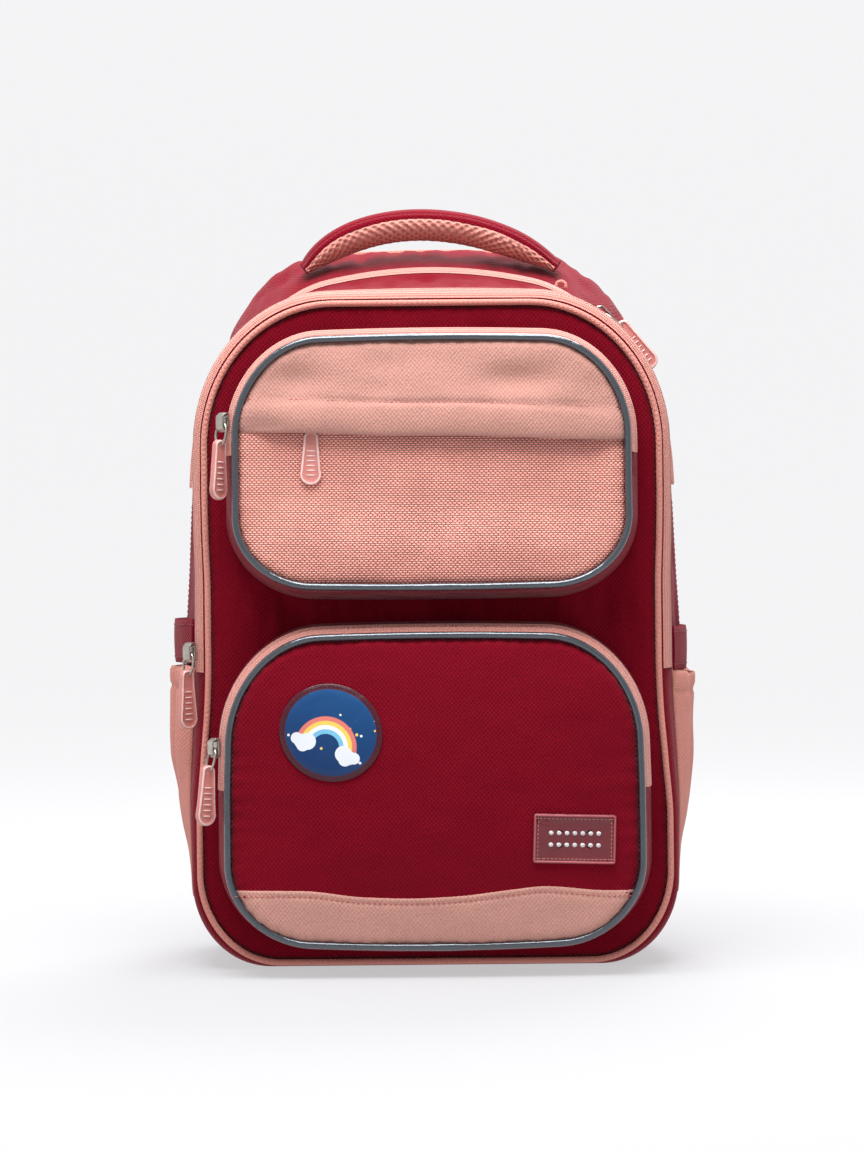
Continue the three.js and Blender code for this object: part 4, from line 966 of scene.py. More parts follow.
def build_zips():
    low, high = FRONT_ZIP_INSET / BODY_DEPTH, (FRONT_ZIP_INSET + FRONT_ZIP_WIDE) / BODY_DEPTH
    zip_band("front_zip", body_skin, low, high, FRONT_ZIP_END, "front_zip_tape")
    half = MAIN_ZIP_WIDE / 2 / BODY_DEPTH
    zip_band("main_zip", body_skin, MAIN_SEAM - half, MAIN_SEAM + half, MAIN_ZIP_END, "main_zip_tape")
    for name, box in (("upper", UPPER), ("lower", LOWER)):
        skin = partial(pocket_skin, box)
        zip_band(name + "_zip", skin, 0.55, 0.95, box["zip_end"], name + "_zip_tape")


# ---------------------------------------------------------------------------------------------------------
# Pockets


def pocket_walls(name, box, seed):
    rows = []
    for share in np.linspace(0, 1, 22):
        ring = pocket_skin(box, share)
        beside_zip = smooth_step(0.45, 0.6, share) * (ring[:, 2] > box["zip_end"] - 8)
        calm = smooth_step(0.0, 0.2, share) * (1 - beside_zip)
        folds = 0.5 + 0.5 * rumple(ring, (24, 12, 24), seed) + 0.3 * rumple(ring, (9, 6, 9), seed + 2)
        rows.append(pocket_skin(box, share, -1.7 * calm * folds))
    middle = (0, FRONT_Y - 15, (box["bottom"] + box["top"]) / 2)
    wall = grid_piece(name + "_pocket_wall", np.array(rows), FINISHES["red"], wrap=True, behind=middle)
    finish_piece(thicken(wall, 1.0), name + "_pocket_gusset")
    outline = pocket_outline(box)
    path = at_depth(outline, rim_y(box, outline[:, 1]))
    joint = np.exp(-(((path[:, 0] - 5) / 9) ** 8)) * (path[:, 2] < box["bottom"] + 20)
    cord = tube_piece(name + "_pocket_cord", path, POCKET_PIPING * (1 + 0.1 * joint), FINISHES["grey"])
    finish_piece(cord, name + "_pocket_piping")


def panel_outline(box, inset=1.4):
    return offset(pocket_outline(box), -inset)


def build_upper_pocket():
    box = UPPER
    pocket_walls("upper", box, 11.0)
    edge = lambda x: FLAP_EDGE[0] + FLAP_EDGE[1] * x + 0.35 * np.sin(x / 17)

    def flap_y(x, z):
        y = face_y(box, x, z)
        for dx, dz, wide, high, deep in FLAP_DENTS:
            y = y + deep * np.exp(-(((x - dx) / wide) ** 2) - ((z - dz) / high) ** 2)
        points = np.stack([x, x * 0, z], 1)
        y = y + 0.9 * rumple(points, (24, 20, 15), 2.2)
        hem = (z - edge(x)) / FLAP_HEM
        y = y - 1.5 * np.sin(np.clip(hem, 0, 1) * math.pi) ** 0.7
        seam = 0.8 * np.exp(-(((z - edge(x) - FLAP_HEM) / 1.6) ** 2))
        gathers = 0.25 * np.sin(x / 3.6) * np.exp(-((hem - 1) ** 2) * 30)
        return y + seam + gathers

    outer = panel_outline(box)

    def flap_depth(x, z, gap, along):
        rim_gap, rim_along = distance_to(outer, np.stack([x, z], 1))
        rolled = 0.7 * np.exp(-(z - edge(x)) / 0.9)
        return flap_y(x, z) + tuck(rim_gap, 2.0) + pucker(rim_along, rim_gap, 4.0, 0.3) + rolled

    flap = fan_piece("flap_cloth", cut_outline(outer, edge, 1), flap_depth, FINISHES["flap"], rings=34)
    finish_piece(thicken(flap, 1.4), "upper_pocket_flap")

    def mesh_depth(x, z, gap, along):
        rim_gap, rim_along = distance_to(outer, np.stack([x, z], 1))
        below = edge(x) - z
        stand = 2.2 + 4.3 * smooth_step(64, 34, below) * smooth_step(4, 24, rim_gap)
        points = np.stack([x, x * 0, z], 1)
        folds = 1.0 * rumple(points, (34, 20, 26), 6.0)
        return face_y(box, x, z) + stand + folds + tuck(rim_gap, 1.2) + pucker(rim_along, rim_gap, 8.0, 0.3)

    below_flap = cut_outline(outer, lambda x: edge(x) + 9, -1)
    mesh = fan_piece("basket_panel", below_flap, mesh_depth, FINISHES["basket"], rings=34)
    finish_piece(thicken(mesh, 1.0), "upper_pocket_mesh")

    xs = np.linspace(-103, 103, 200)
    zs = edge(xs) + FLAP_HEM
    row = np.stack([xs, flap_y(xs, zs) - 0.1, zs], 1)
    stitches("flap_stitches", [row], FINISHES["rose_thread"])


def build_lower_pocket():
    box = LOWER
    pocket_walls("lower", box, 21.0)
    wave_at = curve_through(BAND_WAVE_X, BAND_WAVE_Z)
    wave = lambda x: BAND_HEIGHT + wave_at(x / 113.5)
    outer = panel_outline(box)

    def cloth_y(x, z):
        points = np.stack([x, x * 0, z], 1)
        folds = 0.8 * rumple(points, (40, 20, 34), 9.0) + 0.35 * rumple(points, (14, 20, 12), 4.0)
        return face_y(box, x, z) + folds

    def face_depth(x, z, gap, along):
        rim_gap, rim_along = distance_to(outer, np.stack([x, z], 1))
        return cloth_y(x, z) + tuck(rim_gap, 2.2) + pucker(rim_along, rim_gap, 2.0, 0.55, 7.0)

    above_band = cut_outline(outer, lambda x: wave(x) - 4, 1)
    face = fan_piece("lower_face_cloth", above_band, face_depth, FINISHES["red"], rings=40)
    finish_piece(thicken(face, 1.0), "lower_pocket_face")

    def band_depth(x, z, gap, along):
        rim_gap, rim_along = distance_to(outer, np.stack([x, z], 1))
        below = wave(x) - z
        lift = 1.0 - 0.7 * np.exp(-below / 0.8) - 0.45 * np.exp(-(((below - 3.2) / 1.3) ** 2))
        return cloth_y(x, z) - lift + tuck(rim_gap, 2.4) + pucker(rim_along, rim_gap, 6.0, 0.45, 6.0)

    band = fan_piece("lower_band_cloth", cut_outline(outer, wave, -1), band_depth, FINISHES["pink"], rings=30)
    finish_piece(thicken(band, 0.8), "lower_pocket_band")

    xs = np.linspace(-109, 109, 220)
    zs = wave(xs) - 3.2
    row = np.stack([xs, cloth_y(xs, zs) - 0.75, zs], 1)
    stitches("band_stitches", [row], FINISHES["rose_thread"])
    build_picture(cloth_y)
    build_label(cloth_y)


def patch_frame(patch):
    """Turns places on a patch, across and up in millimetres, into x and z."""
    c, s = math.cos(math.radians(patch["turn"])), math.sin(math.radians(patch["turn"]))
    return lambda a, b: (patch["x"] + a * c - b * s, patch["z"] + a * s + b * c)


def patch_piece(name, patch, ring_shape, heights, cloth_y, finish):
    """A flat patch on the cloth: ring_shape(share) gives a ring, heights how far each ring stands out."""
    to_xz = patch_frame(patch)
    points, local = [], []
    for share, height in heights:
        a, b = ring_shape(share)
        x, z = to_xz(a, b)
        points.append(np.stack([x, cloth_y(x, z) - height, z], 1))
        local.append(np.stack([a, b], 1))
    count = len(points[0])
    centre_x, centre_z = to_xz(np.zeros(1), np.zeros(1))
    centre = np.stack([centre_x, cloth_y(centre_x, centre_z) - heights[-1][1], centre_z], 1)
    flat_points, flat_local = np.concatenate([*points, centre]), np.concatenate([*local, np.zeros((1, 2))])
    faces = []
    for r in range(len(heights) - 1):
        low, high = r * count, (r + 1) * count
        faces += [[low + k, low + (k + 1) % count, high + (k + 1) % count, high + k] for k in range(count)]
    last = (len(heights) - 1) * count
    faces += [[last + k, last + (k + 1) % count, len(flat_points) - 1] for k in range(count)]
    behind = (patch["x"], 200, patch["z"])
    return make_piece(name, flat_points, faces, [flat_local[f] for f in faces], finish, behind)


def build_picture(cloth_y):
    def oval(share, angle=np.arange(96) / 96 * 2 * math.pi):
        return PICTURE["wide"] / 2 * share * np.cos(angle), PICTURE["high"] / 2 * share * np.sin(angle)

    heights = [(1.0, -0.2), (1.0, 0.7), (0.985, 1.05), (0.9, 1.05), (0.88, 1.35), (0.75, 1.5)]
    heights += [(s, 1.55) for s in (0.6, 0.45, 0.3, 0.15)]
    patch = patch_piece("oval_patch", PICTURE, oval, heights, cloth_y, FINISHES["picture"])
    finish_piece(patch, "picture_patch")
    x, z = patch_frame(PICTURE)(*oval(0.945, np.linspace(0, 2 * math.pi, 200)))
    row = np.stack([x, cloth_y(x, z) - 1.1, z], 1)
    stitches("oval_stitches", [row], FINISHES["dark_thread"], 2.4, (1.8, 0.6, 0.5))


def build_label(cloth_y):
    half_wide, half_high, corner = LABEL["wide"] / 2, LABEL["high"] / 2, 1.6
    outline = rounded_outline({
        "left": -half_wide, "right": half_wide, "bottom": -half_high, "top": half_high,
        "top_wide": corner, "top_high": corner, "bottom_wide": corner, "bottom_high": corner,
    }, (24, 6, 14, 24))

    def shrink(inset):
        return (offset(outline, -inset) if inset < 6 else outline * (1 - inset / 14)).T

    heights = [(0.0, -0.2), (0.0, 1.2), (0.4, 1.6), (1.2, 1.6)]
    heights += [(inset, 1.15) for inset in (1.5, 5.0, 9.0, 12.5)]
    base = patch_piece("label_base", LABEL, shrink, heights, cloth_y, FINISHES["plate"])
    finish_piece(base, "label_patch")
    to_xz = patch_frame(LABEL)

    def ring(inset, lift):
        x, z = to_xz(*shrink(inset))
        return np.stack([x, cloth_y(x, z) - lift, z], 1)

    finish_piece(tube_piece("label_rim", ring(0.9, 1.5), 0.55, FINISHES["frame"], sides=8))
    around = ring(2.6, 1.2)
    around = np.concatenate([around, around[:1]])
    stitches("label_stitches", [around], FINISHES["pink_thread"], 2.2, (1.5, 0.45, 0.4))
    rows = []
    for height in (3.2, -3.2):
        a = np.linspace(-13.0, 13.0, 30)
        x, z = to_xz(a, a * 0 + height)
        rows.append(np.stack([x, cloth_y(x, z) - 1.3, z], 1))
    stitches("label_dots", rows, FINISHES["silver"], 4.3, (2.8, 2.8, 1.0))


# ---------------------------------------------------------------------------------------------------------
# Sides


def side_x(share, side, heights):
    """The body's half width on one side at some heights."""
    ring = body_outline(share)
    half = ring[ring[:, 0] * side > BODY_HALF_WIDTH * 0.55]
    order = np.argsort(half[:, 1])
    return np.interp(heights, half[order, 1], half[order, 0])


def side_row(share, side, z, out):
    """A row of points up the body's side at a share of its depth, standing out from it."""
    return np.stack([side_x(share, side, z) + side * out, z * 0 + FRONT_Y + share * BODY_DEPTH, z], 1)


def build_sides():
    bow = curve_through((0.13, 0.17, 0.22, 0.28, 0.34, 0.4, 0.5, 0.58, 0.66, 0.74, 0.82, 0.9, 0.94),
                        (0.0, 0.5, 0.78, 0.62, 0.5, 0.66, 0.92, 0.86, 1.0, 0.8, 0.72, 0.35, 0.0))
    rise = curve_through((0.0, 0.18, 0.32, 0.47, 0.62, 1.0), (0.0, 0.12, 0.45, 0.74, 0.92, 1.0))
    strap_bow = curve_through((0.13, 0.24, 0.42, 0.6, 0.8, 0.94), (0.0, 0.55, 0.9, 1.0, 0.75, 0.0))
    for name, side, top, bulge, strap_top, strap_bulge in SIDES:
        rows = []
        for share in np.linspace(SIDE_FROM, SIDE_TO, 70):
            z = np.linspace(POCKET_BOTTOM, top + 2.0 * math.sin(share * 9 + side), 60)
            up = (z - POCKET_BOTTOM) / (top - POCKET_BOTTOM)
            fade = np.minimum(1, 3 * up) * math.sin(math.pi * (share - SIDE_FROM) / (SIDE_TO - SIDE_FROM))
            pleats = 3.4 * (np.abs(np.sin(share * 24 + 0.9 * up + side)) - 0.55) * fade
            points = np.stack([z * 0, z * 0 + share * BODY_DEPTH, z], 1)
            folds = 1.7 * rumple(points, (9, 9, 30), 3.0 + side) * np.minimum(1, 2.5 * up)
            hem = -1.3 * np.exp(-(((top - z - 11) / 1.5) ** 2)) - 1.0 * np.exp(-(top - z) / 1.0)
            loose = (pleats + folds) * min(1, 6 * (share - SIDE_FROM))
            out = 0.4 + np.maximum(0, bulge * bow(share) * rise(up) + loose + hem)
            rows.append(side_row(share, side, z, out))
        grid = np.array(rows)
        pocket = grid_piece("side_pocket_cloth_" + name, grid, FINISHES["side"], behind=(0, 0, 100))
        finish_piece(thicken(pocket, 0.9), "side_pocket_" + name)
        hem_row = grid[:, -6] + np.array([side * 0.15, 0, 0])
        stitches("side_pocket_stitches_" + name, [hem_row], FINISHES["pink_thread"], out=(side, 0, 0))
        rows = []
        for share in np.linspace(SIDE_FROM, SIDE_TO, 60):
            z = np.linspace(strap_top - SIDE_STRAP_WIDE, strap_top, 16)
            roll = np.sin(np.linspace(0, math.pi, 16)) ** 0.5
            lean = 0.9 + 0.1 * (z - z[0]) / SIDE_STRAP_WIDE
            out = 1.0 + strap_bulge * strap_bow(share) * lean + 0.5 * roll
            rows.append(side_row(share, side, z, out))
        grid = np.array(rows)
        strap = grid_piece("side_strap_cloth_" + name, grid, FINISHES["red"], behind=(0, 0, 180))
        finish_piece(thicken(strap, 1.6), "side_strap_" + name)
        edges = [grid[:, k] + np.array([side * 0.2, 0, 0]) for k in (2, -3)]
        stitches("side_strap_stitches_" + name, edges, FINISHES["red_thread"], out=(side, 0, 0))


# ---------------------------------------------------------------------------------------------------------
# Handle


def body_top(x, y):
    """The height of the body's roof."""
    ring = body_outline((y - FRONT_Y) / BODY_DEPTH)
    roof = ring[ring[:, 1] > BODY_HEIGHT * 0.6]
    order = np.argsort(roof[:, 0])
    return float(np.interp(x, roof[order, 0], roof[order, 1]))


def build_handle():
    h = HANDLE
    foot_z = body_top(h["half_span"], h["y"]) + 0.3 + h["thick"] * 0.4 * 0.72
    peak = h["peak"] - h["thick"] / 2
    rise = peak - foot_z
    radius = (h["half_span"] ** 2 + rise**2) / (2 * rise)
    reach = math.asin(h["half_span"] / radius)
    seam = math.asin(h["seam"])
    shares = np.linspace(-0.015, 1.015, 220)

    def section(share):
        angle = -reach + 2 * reach * share
        end = min(1.0, abs(2 * share - 1)) ** 5
        lean = math.radians(18) * end
        up, back = np.array([math.sin(angle), 0, math.cos(angle)]), np.array([0.0, 1.0, 0.0])
        sway = h["sway"] * (1 - (angle / reach) ** 2)
        centre = np.array([radius * math.sin(angle) + sway, h["y"], peak - radius * (1 - math.cos(angle))])
        upward = up * math.cos(lean) - back * math.sin(lean)
        across = back * math.cos(lean) + up * math.sin(lean)
        return centre, upward, across, h["thick"] / 2 * (1 - 0.6 * end), h["wide"] / 2 * (1 - 0.34 * end)

    def half(start, stop, count, dents):
        rows = []
        angles = np.linspace(start, stop, count)
        for share in shares:
            centre, up, across, thick, wide = section(share)
            around = (angles - angles[0]) * (thick + wide) / 2
            travelled = share * 2 * reach * radius
            swell_out = dents(travelled, around)
            rows.append(centre + np.outer(np.cos(angles) * (wide + swell_out), across)
                        + np.outer(np.sin(angles) * (thick + swell_out), up))
        return np.array(rows)

    def cover_dents(travelled, around):
        edge = np.minimum(around, around.max() - around)
        gather = 0.35 * math.sin(travelled / 6.5 + 2 * math.sin(travelled / 21)) * np.exp(-edge / 5)
        return 0.3 + gather - 0.9 * np.exp(-((edge / 1.6) ** 2)) - 0.5 * np.exp(-(((edge - 4.5) / 1.1) ** 2))

    def mesh_dents(travelled, around):
        edge = np.minimum(around, around.max() - around)
        turn = math.pi / MESH_PITCH
        one, other = (travelled + around * 1.15) * turn, (travelled - around * 1.15) * turn
        hole = np.abs(np.sin(one) * np.sin(other)) ** 1.4
        return 0.2 - 1.0 * hole * np.minimum(1, edge / 2) - 0.9 * np.exp(-((edge / 1.4) ** 2))

    cover = half(seam, math.pi - seam, 36, cover_dents)
    middle = np.array([0, h["y"], peak - 60])
    piece = grid_piece("handle_cover_cloth", cover, FINISHES["red"], behind=middle)
    finish_piece(piece, "handle_cover", padded=0.8)
    lower = half(math.pi - seam, 2 * math.pi + seam, 64, mesh_dents)
    under = grid_piece("handle_air_mesh", lower.transpose(1, 0, 2), FINISHES["mesh"])
    turn_by_axis(under, lower)
    for name, end in (("left", 0), ("right", -1)):
        ring = np.concatenate([cover[end], lower[end]])
        centre = ring.mean(0)
        outward = centre - cover[5 if end == 0 else -6].mean(0)
        outward /= np.linalg.norm(outward)
        steps = ((1, 0), (0.8, 0.9), (0.4, 1.2), (0.05, 1.3))
        dome = np.array([centre + (ring - centre) * share + outward * lift for share, lift in steps])
        inside = tuple(centre - outward * 9)
        finish_piece(grid_piece("handle_end_" + name, dome, FINISHES["red"], wrap=True, behind=inside))
    finish_piece(under, "handle_mesh", padded=0.8)
    stitches("handle_stitches", [cover[:, 5], cover[:, -6]], FINISHES["red_thread"], out=(0, 0, 1))

    loop = np.linspace(-0.3, math.pi + 0.3, 24)
    foot = np.array([76.0, FRONT_Y + 0.5 * BODY_DEPTH, body_top(76, 0) + 1.0])
    path = foot + np.stack([2.8 * np.cos(loop), loop * 0, 3.0 * np.sin(loop)], 1)
    finish_piece(tube_piece("zip_end_loop", path, 1.1, FINISHES["piping"], sides=10, closed=False))


def turn_by_axis(piece, rows):
    """Turns an open half tube's faces away from the line through its sections' middles."""
    middles = rows.mean(1) * MM
    mesh = piece.data
    total = 0.0
    for polygon in list(mesh.polygons)[:: max(1, len(mesh.polygons) // 400)]:
        nearest = middles[np.linalg.norm(middles - np.array(polygon.center), axis=1).argmin()]
        total += float(np.dot(np.array(polygon.normal), np.array(polygon.center) - nearest))
    if total < 0:
        mesh.flip_normals()


# ---------------------------------------------------------------------------------------------------------
# Back and shoulder straps


def pad_grid(outline, start_y, thick, inset, rings=10):
    """Rows of a pad with a rounded rim, from its foot to the middle of its face."""
    rows = []
    for turn in np.linspace(0, 1, rings):
        angle = turn * math.pi / 2
        ring = offset(outline, -inset * (1 - math.cos(angle)))
        rows.append(at_depth(ring, start_y + thick * math.sin(angle)))
    face = offset(outline, -inset)
    middle = face.mean(0)
    for share in (0.85, 0.65, 0.45, 0.25, 0.08):
        rows.append(at_depth(middle + (face - middle) * share, start_y + thick))
    return np.array([at_depth(outline, start_y), *rows])


def build_back():
    back_outline = body_outline(1.0)
    grid = pad_grid(back_outline, BACK_Y + 0.3, BACK_PLATE, 4.5)
    grid[..., 1] += 0.5 * rumple(grid, (30, 30, 30), 4.4) * (grid[..., 1] > BACK_Y + 6)
    panel = grid_piece("back_panel_cloth", grid, FINISHES["red_object"], wrap=True, caps=True,
                       behind=(0, 60, 200))
    finish_piece(panel, "back_panel", padded=0.7)
    welt = at_depth(offset(back_outline, 0.2), BACK_Y + 0.6)
    finish_piece(tube_piece("back_welt", welt, 1.7, FINISHES["piping"], hint=(0, 1, 0)))
    pad_y = BACK_Y + BACK_PLATE + 0.6
    for name, x, bottom, top, half, corner in BACK_PADS:
        box = {"left": x - half, "right": x + half, "bottom": bottom, "top": top}
        box.update(top_wide=corner, top_high=corner, bottom_wide=corner, bottom_high=corner)
        outline = offset(rounded_outline(box, (16, 10, 30, 16)), -1.5)
        grid = pad_grid(outline, pad_y, 6.5, 5.0)
        pad = grid_piece(name + "_cushion", grid, FINISHES["mesh_back"], wrap=True, caps=True,
                         behind=(x, pad_y + 2, (bottom + top) / 2))
        swell(pad, voxel=4.0, pressure=4.0, cap=3.0, held_before=pad_y + 1.2)
        finish_piece(pad, name, padded=0.7)
        welt = at_depth(offset(outline, 1.2), pad_y + 1.2)
        finish_piece(tube_piece(name + "_welt", welt, 1.3, FINISHES["piping"], hint=(0, 1, 0)))
    for name, side, *_ in SIDES:
        build_shoulder_strap(name, side)


def smooth_path(points, count):
    """A smooth curve through a few points or rows of numbers."""
    points = np.array(points)
    padded = np.concatenate([[2 * points[0] - points[1]], points, [2 * points[-1] - points[-2]]])
    rows = []
    for t in np.linspace(0, len(points) - 1, count):
        i = min(int(t), len(points) - 2)
        s = t - i
        a, b, c, d = padded[i : i + 4]
        square, cube = 2 * a - 5 * b + 4 * c - d, 3 * b - a - 3 * c + d
        rows.append(0.5 * (2 * b + (c - a) * s + square * s**2 + cube * s**3))
    return np.array(rows)


def build_shoulder_strap(name, side):
    scale = (side * BODY_HALF_WIDTH, STRAP_REACH, BODY_HEIGHT, STRAP_HALF_WIDE)
    rows = smooth_path(np.array(STRAP_PATH) * scale + (0, BACK_Y + BACK_PLATE, 0, 0), 110)
    path, half_wide = rows[:, :3], rows[:, 3]
    along = tangents(path)
    wide_way = np.array([1.0, 0, 0]) - along * along[:, :1]
    wide_way /= np.linalg.norm(wide_way, axis=1, keepdims=True)
    out_way = np.cross(wide_way, along)
    angle = np.linspace(0, 2 * math.pi, 49)[:-1]
    across = np.sign(np.cos(angle)) * np.abs(np.cos(angle)) ** 0.5
    out = np.sign(np.sin(angle)) * np.abs(np.sin(angle)) ** 0.8
    channel = 1 - 0.35 * np.exp(-(((np.abs(across) - 0.8) / 0.07) ** 2))
    thick = STRAP_THICK * (1 + 0.05 * np.sin(np.arange(len(path)) / 7.0))
    grid = (path[:, None] + wide_way[:, None] * (across[None, :, None] * half_wide[:, None, None])
            + out_way[:, None] * (out * channel)[None, :, None] * thick[:, None, None])
    strap = grid_piece("shoulder_strap_cloth_" + name, grid, FINISHES["red"], wrap=True, caps=True)
    turn_by_axis(strap, grid)
    finish_piece(strap, "shoulder_strap_" + name, padded=0.7)
    for edge, sign in (("inner", -side), ("outer", side)):
        line = (path + wide_way * (sign * half_wide)[:, None])[5:-1]
        cord = tube_piece("strap_binding_" + edge + "_" + name, line, 1.5, FINISHES["piping"], sides=10,
                          closed=False, hint=(0, 1, 0.2))
        finish_piece(cord)
    sewn = []
    for sign in (-0.8, 0.8):
        for face in (-1, 1):
            row = path + wide_way * (sign * half_wide)[:, None] + out_way * (face * thick * 0.5)[:, None]
            sewn.append((row, along, out_way * face))
    beads("strap_stitches_" + name, sewn, FINISHES["pink_thread"], 3.2, (2.3, 0.6, 0.5))

    end = path[-1]
    anchor = np.array([side * 100, BACK_Y + BACK_PLATE + 2.4, 36.0])
    down = anchor - end
    down /= np.linalg.norm(down)
    web_across = np.array([1.0, 0, 0]) - down * down[0]
    web_across /= np.linalg.norm(web_across)
    start = end + down * (BUCKLE_LONG + 1.7)
    places = np.linspace(0, 1, 60)
    sag = np.sin(places * math.pi) * 1.2
    line = start * (1 - places[:, None]) + anchor * places[:, None] - np.array([0, 0, 1]) * sag[:, None] * 0.3
    shares = np.linspace(-0.5, 0.5, 14)
    grid = line[:, None] + web_across * (shares * WEB_WIDE)[None, :, None]
    web = grid_piece("strap_web_" + name, grid, FINISHES["webbing"], behind=(0, 0, 150))
    finish_piece(thicken(web, 1.4), "strap_webbing_" + name)
    soften_node(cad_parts["strap_buckle_" + name], FINISHES["buckle"], 0.6)


def soften_node(node, finish, radius):
    """Gives a moulded or cast solid its own finish and small rounded edges."""
    node.data.materials.clear()
    node.data.materials.append(finish)
    weld = node.modifiers.new("weld", "WELD")
    weld.merge_threshold = 0.00001
    edge = node.modifiers.new("edge", "BEVEL")
    edge.width, edge.segments, edge.limit_method, edge.angle_limit = radius * MM, 2, "ANGLE", math.radians(35)


# ---------------------------------------------------------------------------------------------------------
# Zip pulls


def node_axes(node):
    """The middle of a solid and its own long, wide and thin directions, with half sizes, in millimetres."""
    points = np.array([v.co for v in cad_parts[node].data.vertices]) / MM
    middle = (points.max(0) + points.min(0)) / 2
    _, _, axes = np.linalg.svd(points - points.mean(0), full_matrices=False)
    if axes[0][2] < 0:
        axes[0] = -axes[0]
    if axes[2][1] > 0:
        axes[2] = -axes[2]
    axes[1] = np.cross(axes[0], axes[2])
    local = (points - middle) @ axes.T
    low, high = local.min(0), local.max(0)
    middle = middle + ((low + high) / 2) @ axes
    return middle, axes, (high - low) / 2


def build_tab(name, node, thin=1.0):
    """A moulded tab that widens downwards, with a pale raised rim and grip ribs."""
    middle, axes, half = node_axes(node)
    long, wide, thick = half
    up, across, out = axes
    top_wide = wide * 0.68
    turn = np.linspace(math.pi, 2 * math.pi, 22)
    bowl = np.stack([wide * np.cos(turn), -long + wide + wide * np.sin(turn)], 1)
    neck = np.linspace(0, 1, 16)[1:]
    neck_up = -long + wide + (long * 2 - wide - TAB_CAP) * neck
    right = np.stack([wide + (top_wide - wide) * neck**0.8, neck_up], 1)
    cap_turn = np.linspace(0, math.pi, 14)[1:-1]
    cap = np.stack([top_wide * np.cos(cap_turn), long - TAB_CAP + TAB_CAP * np.sin(cap_turn)], 1)
    left = right[::-1] * np.array([-1, 1])
    outline = np.concatenate([bowl, right, cap, left])[:-1]
    spine = np.stack([outline[:, 0] * 0, np.clip(outline[:, 1], -long + wide, long - 4)], 1)
    rows = []
    for face in (1, -1):
        for inset, height in TAB_RINGS[::-face]:
            ring = offset(outline, -inset)
            flat = middle + np.outer(ring[:, 1], up) + np.outer(ring[:, 0], across)
            rows.append(flat + out * (face * height * thick))
    front, back = (middle + np.outer(spine[:, 1], up) + out * (face * 0.7 * thick) for face in (1, -1))
    piece = grid_piece(name, np.array([front, *rows, back]), FINISHES["tab"], wrap=True)
    turn_by_point(piece, middle)
    piece.data.materials.append(FINISHES["pale"])
    count = len(outline)
    for polygon in piece.data.polygons:
        if polygon.index // count in TAB_RIM_ROWS:
            polygon.material_index = 1
    finish_piece(piece, node)
    ribs = []
    for face in (1, -1):
        line = np.linspace(-long + wide * 0.9, long * 0.25, 20)
        ribs.append((middle + np.outer(line, up) + out * (face * thick * 0.78), across, out * face))
    beads(name + "_ribs", ribs, FINISHES["pale"], 2.6, (wide * 0.95, 1.0, 0.9 * thin))


def turn_by_point(piece, middle):
    """Turns a piece's faces away from a point."""
    mesh = piece.data
    total = sum(float(np.dot(np.array(p.normal), np.array(p.center) - middle * MM)) for p in mesh.polygons)
    if total < 0:
        mesh.flip_normals()


def build_ring(name, node):
    """A wire ring in the place and at the tilt of its solid."""
    middle, axes, half = node_axes(node)
    turn = np.arange(40) / 40 * 2 * math.pi
    long, wide = half[0] - RING_INSET, half[1] - RING_INSET
    path = middle + np.outer(np.sin(turn) * long, axes[0]) + np.outer(np.cos(turn) * wide, axes[1])
    finish_piece(tube_piece(name, path, RING_WIRE, FINISHES["nickel"], sides=10, hint=tuple(axes[2])), node)


def build_pulls():
    for name in ("upper", "lower", "front", "main"):
        soften_node(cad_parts[name + "_pull_slider"], FINISHES["nickel"], 0.7)
        build_ring(name + "_ring_wire", name + "_pull_ring")
        build_tab(name + "_tab_moulding", name + "_pull_tab")
    build_tab("flap_tab_moulding", "flap_pull_tab", thin=0.6)


# ---------------------------------------------------------------------------------------------------------
# Stage


def area_light(name, place, aim, size, power):
    """A round lamp turned towards a point, in metres and watts."""
    light = bpy.data.lights.new(name, "AREA")
    light.shape, light.size, light.energy = "DISK", size, power
    lamp = bpy.data.objects.new(name, light)
    lamp.location = place
    lamp.rotation_euler = (Vector(aim) - Vector(place)).to_track_quat("-Z", "Y").to_euler()
    bpy.context.scene.collection.objects.link(lamp)


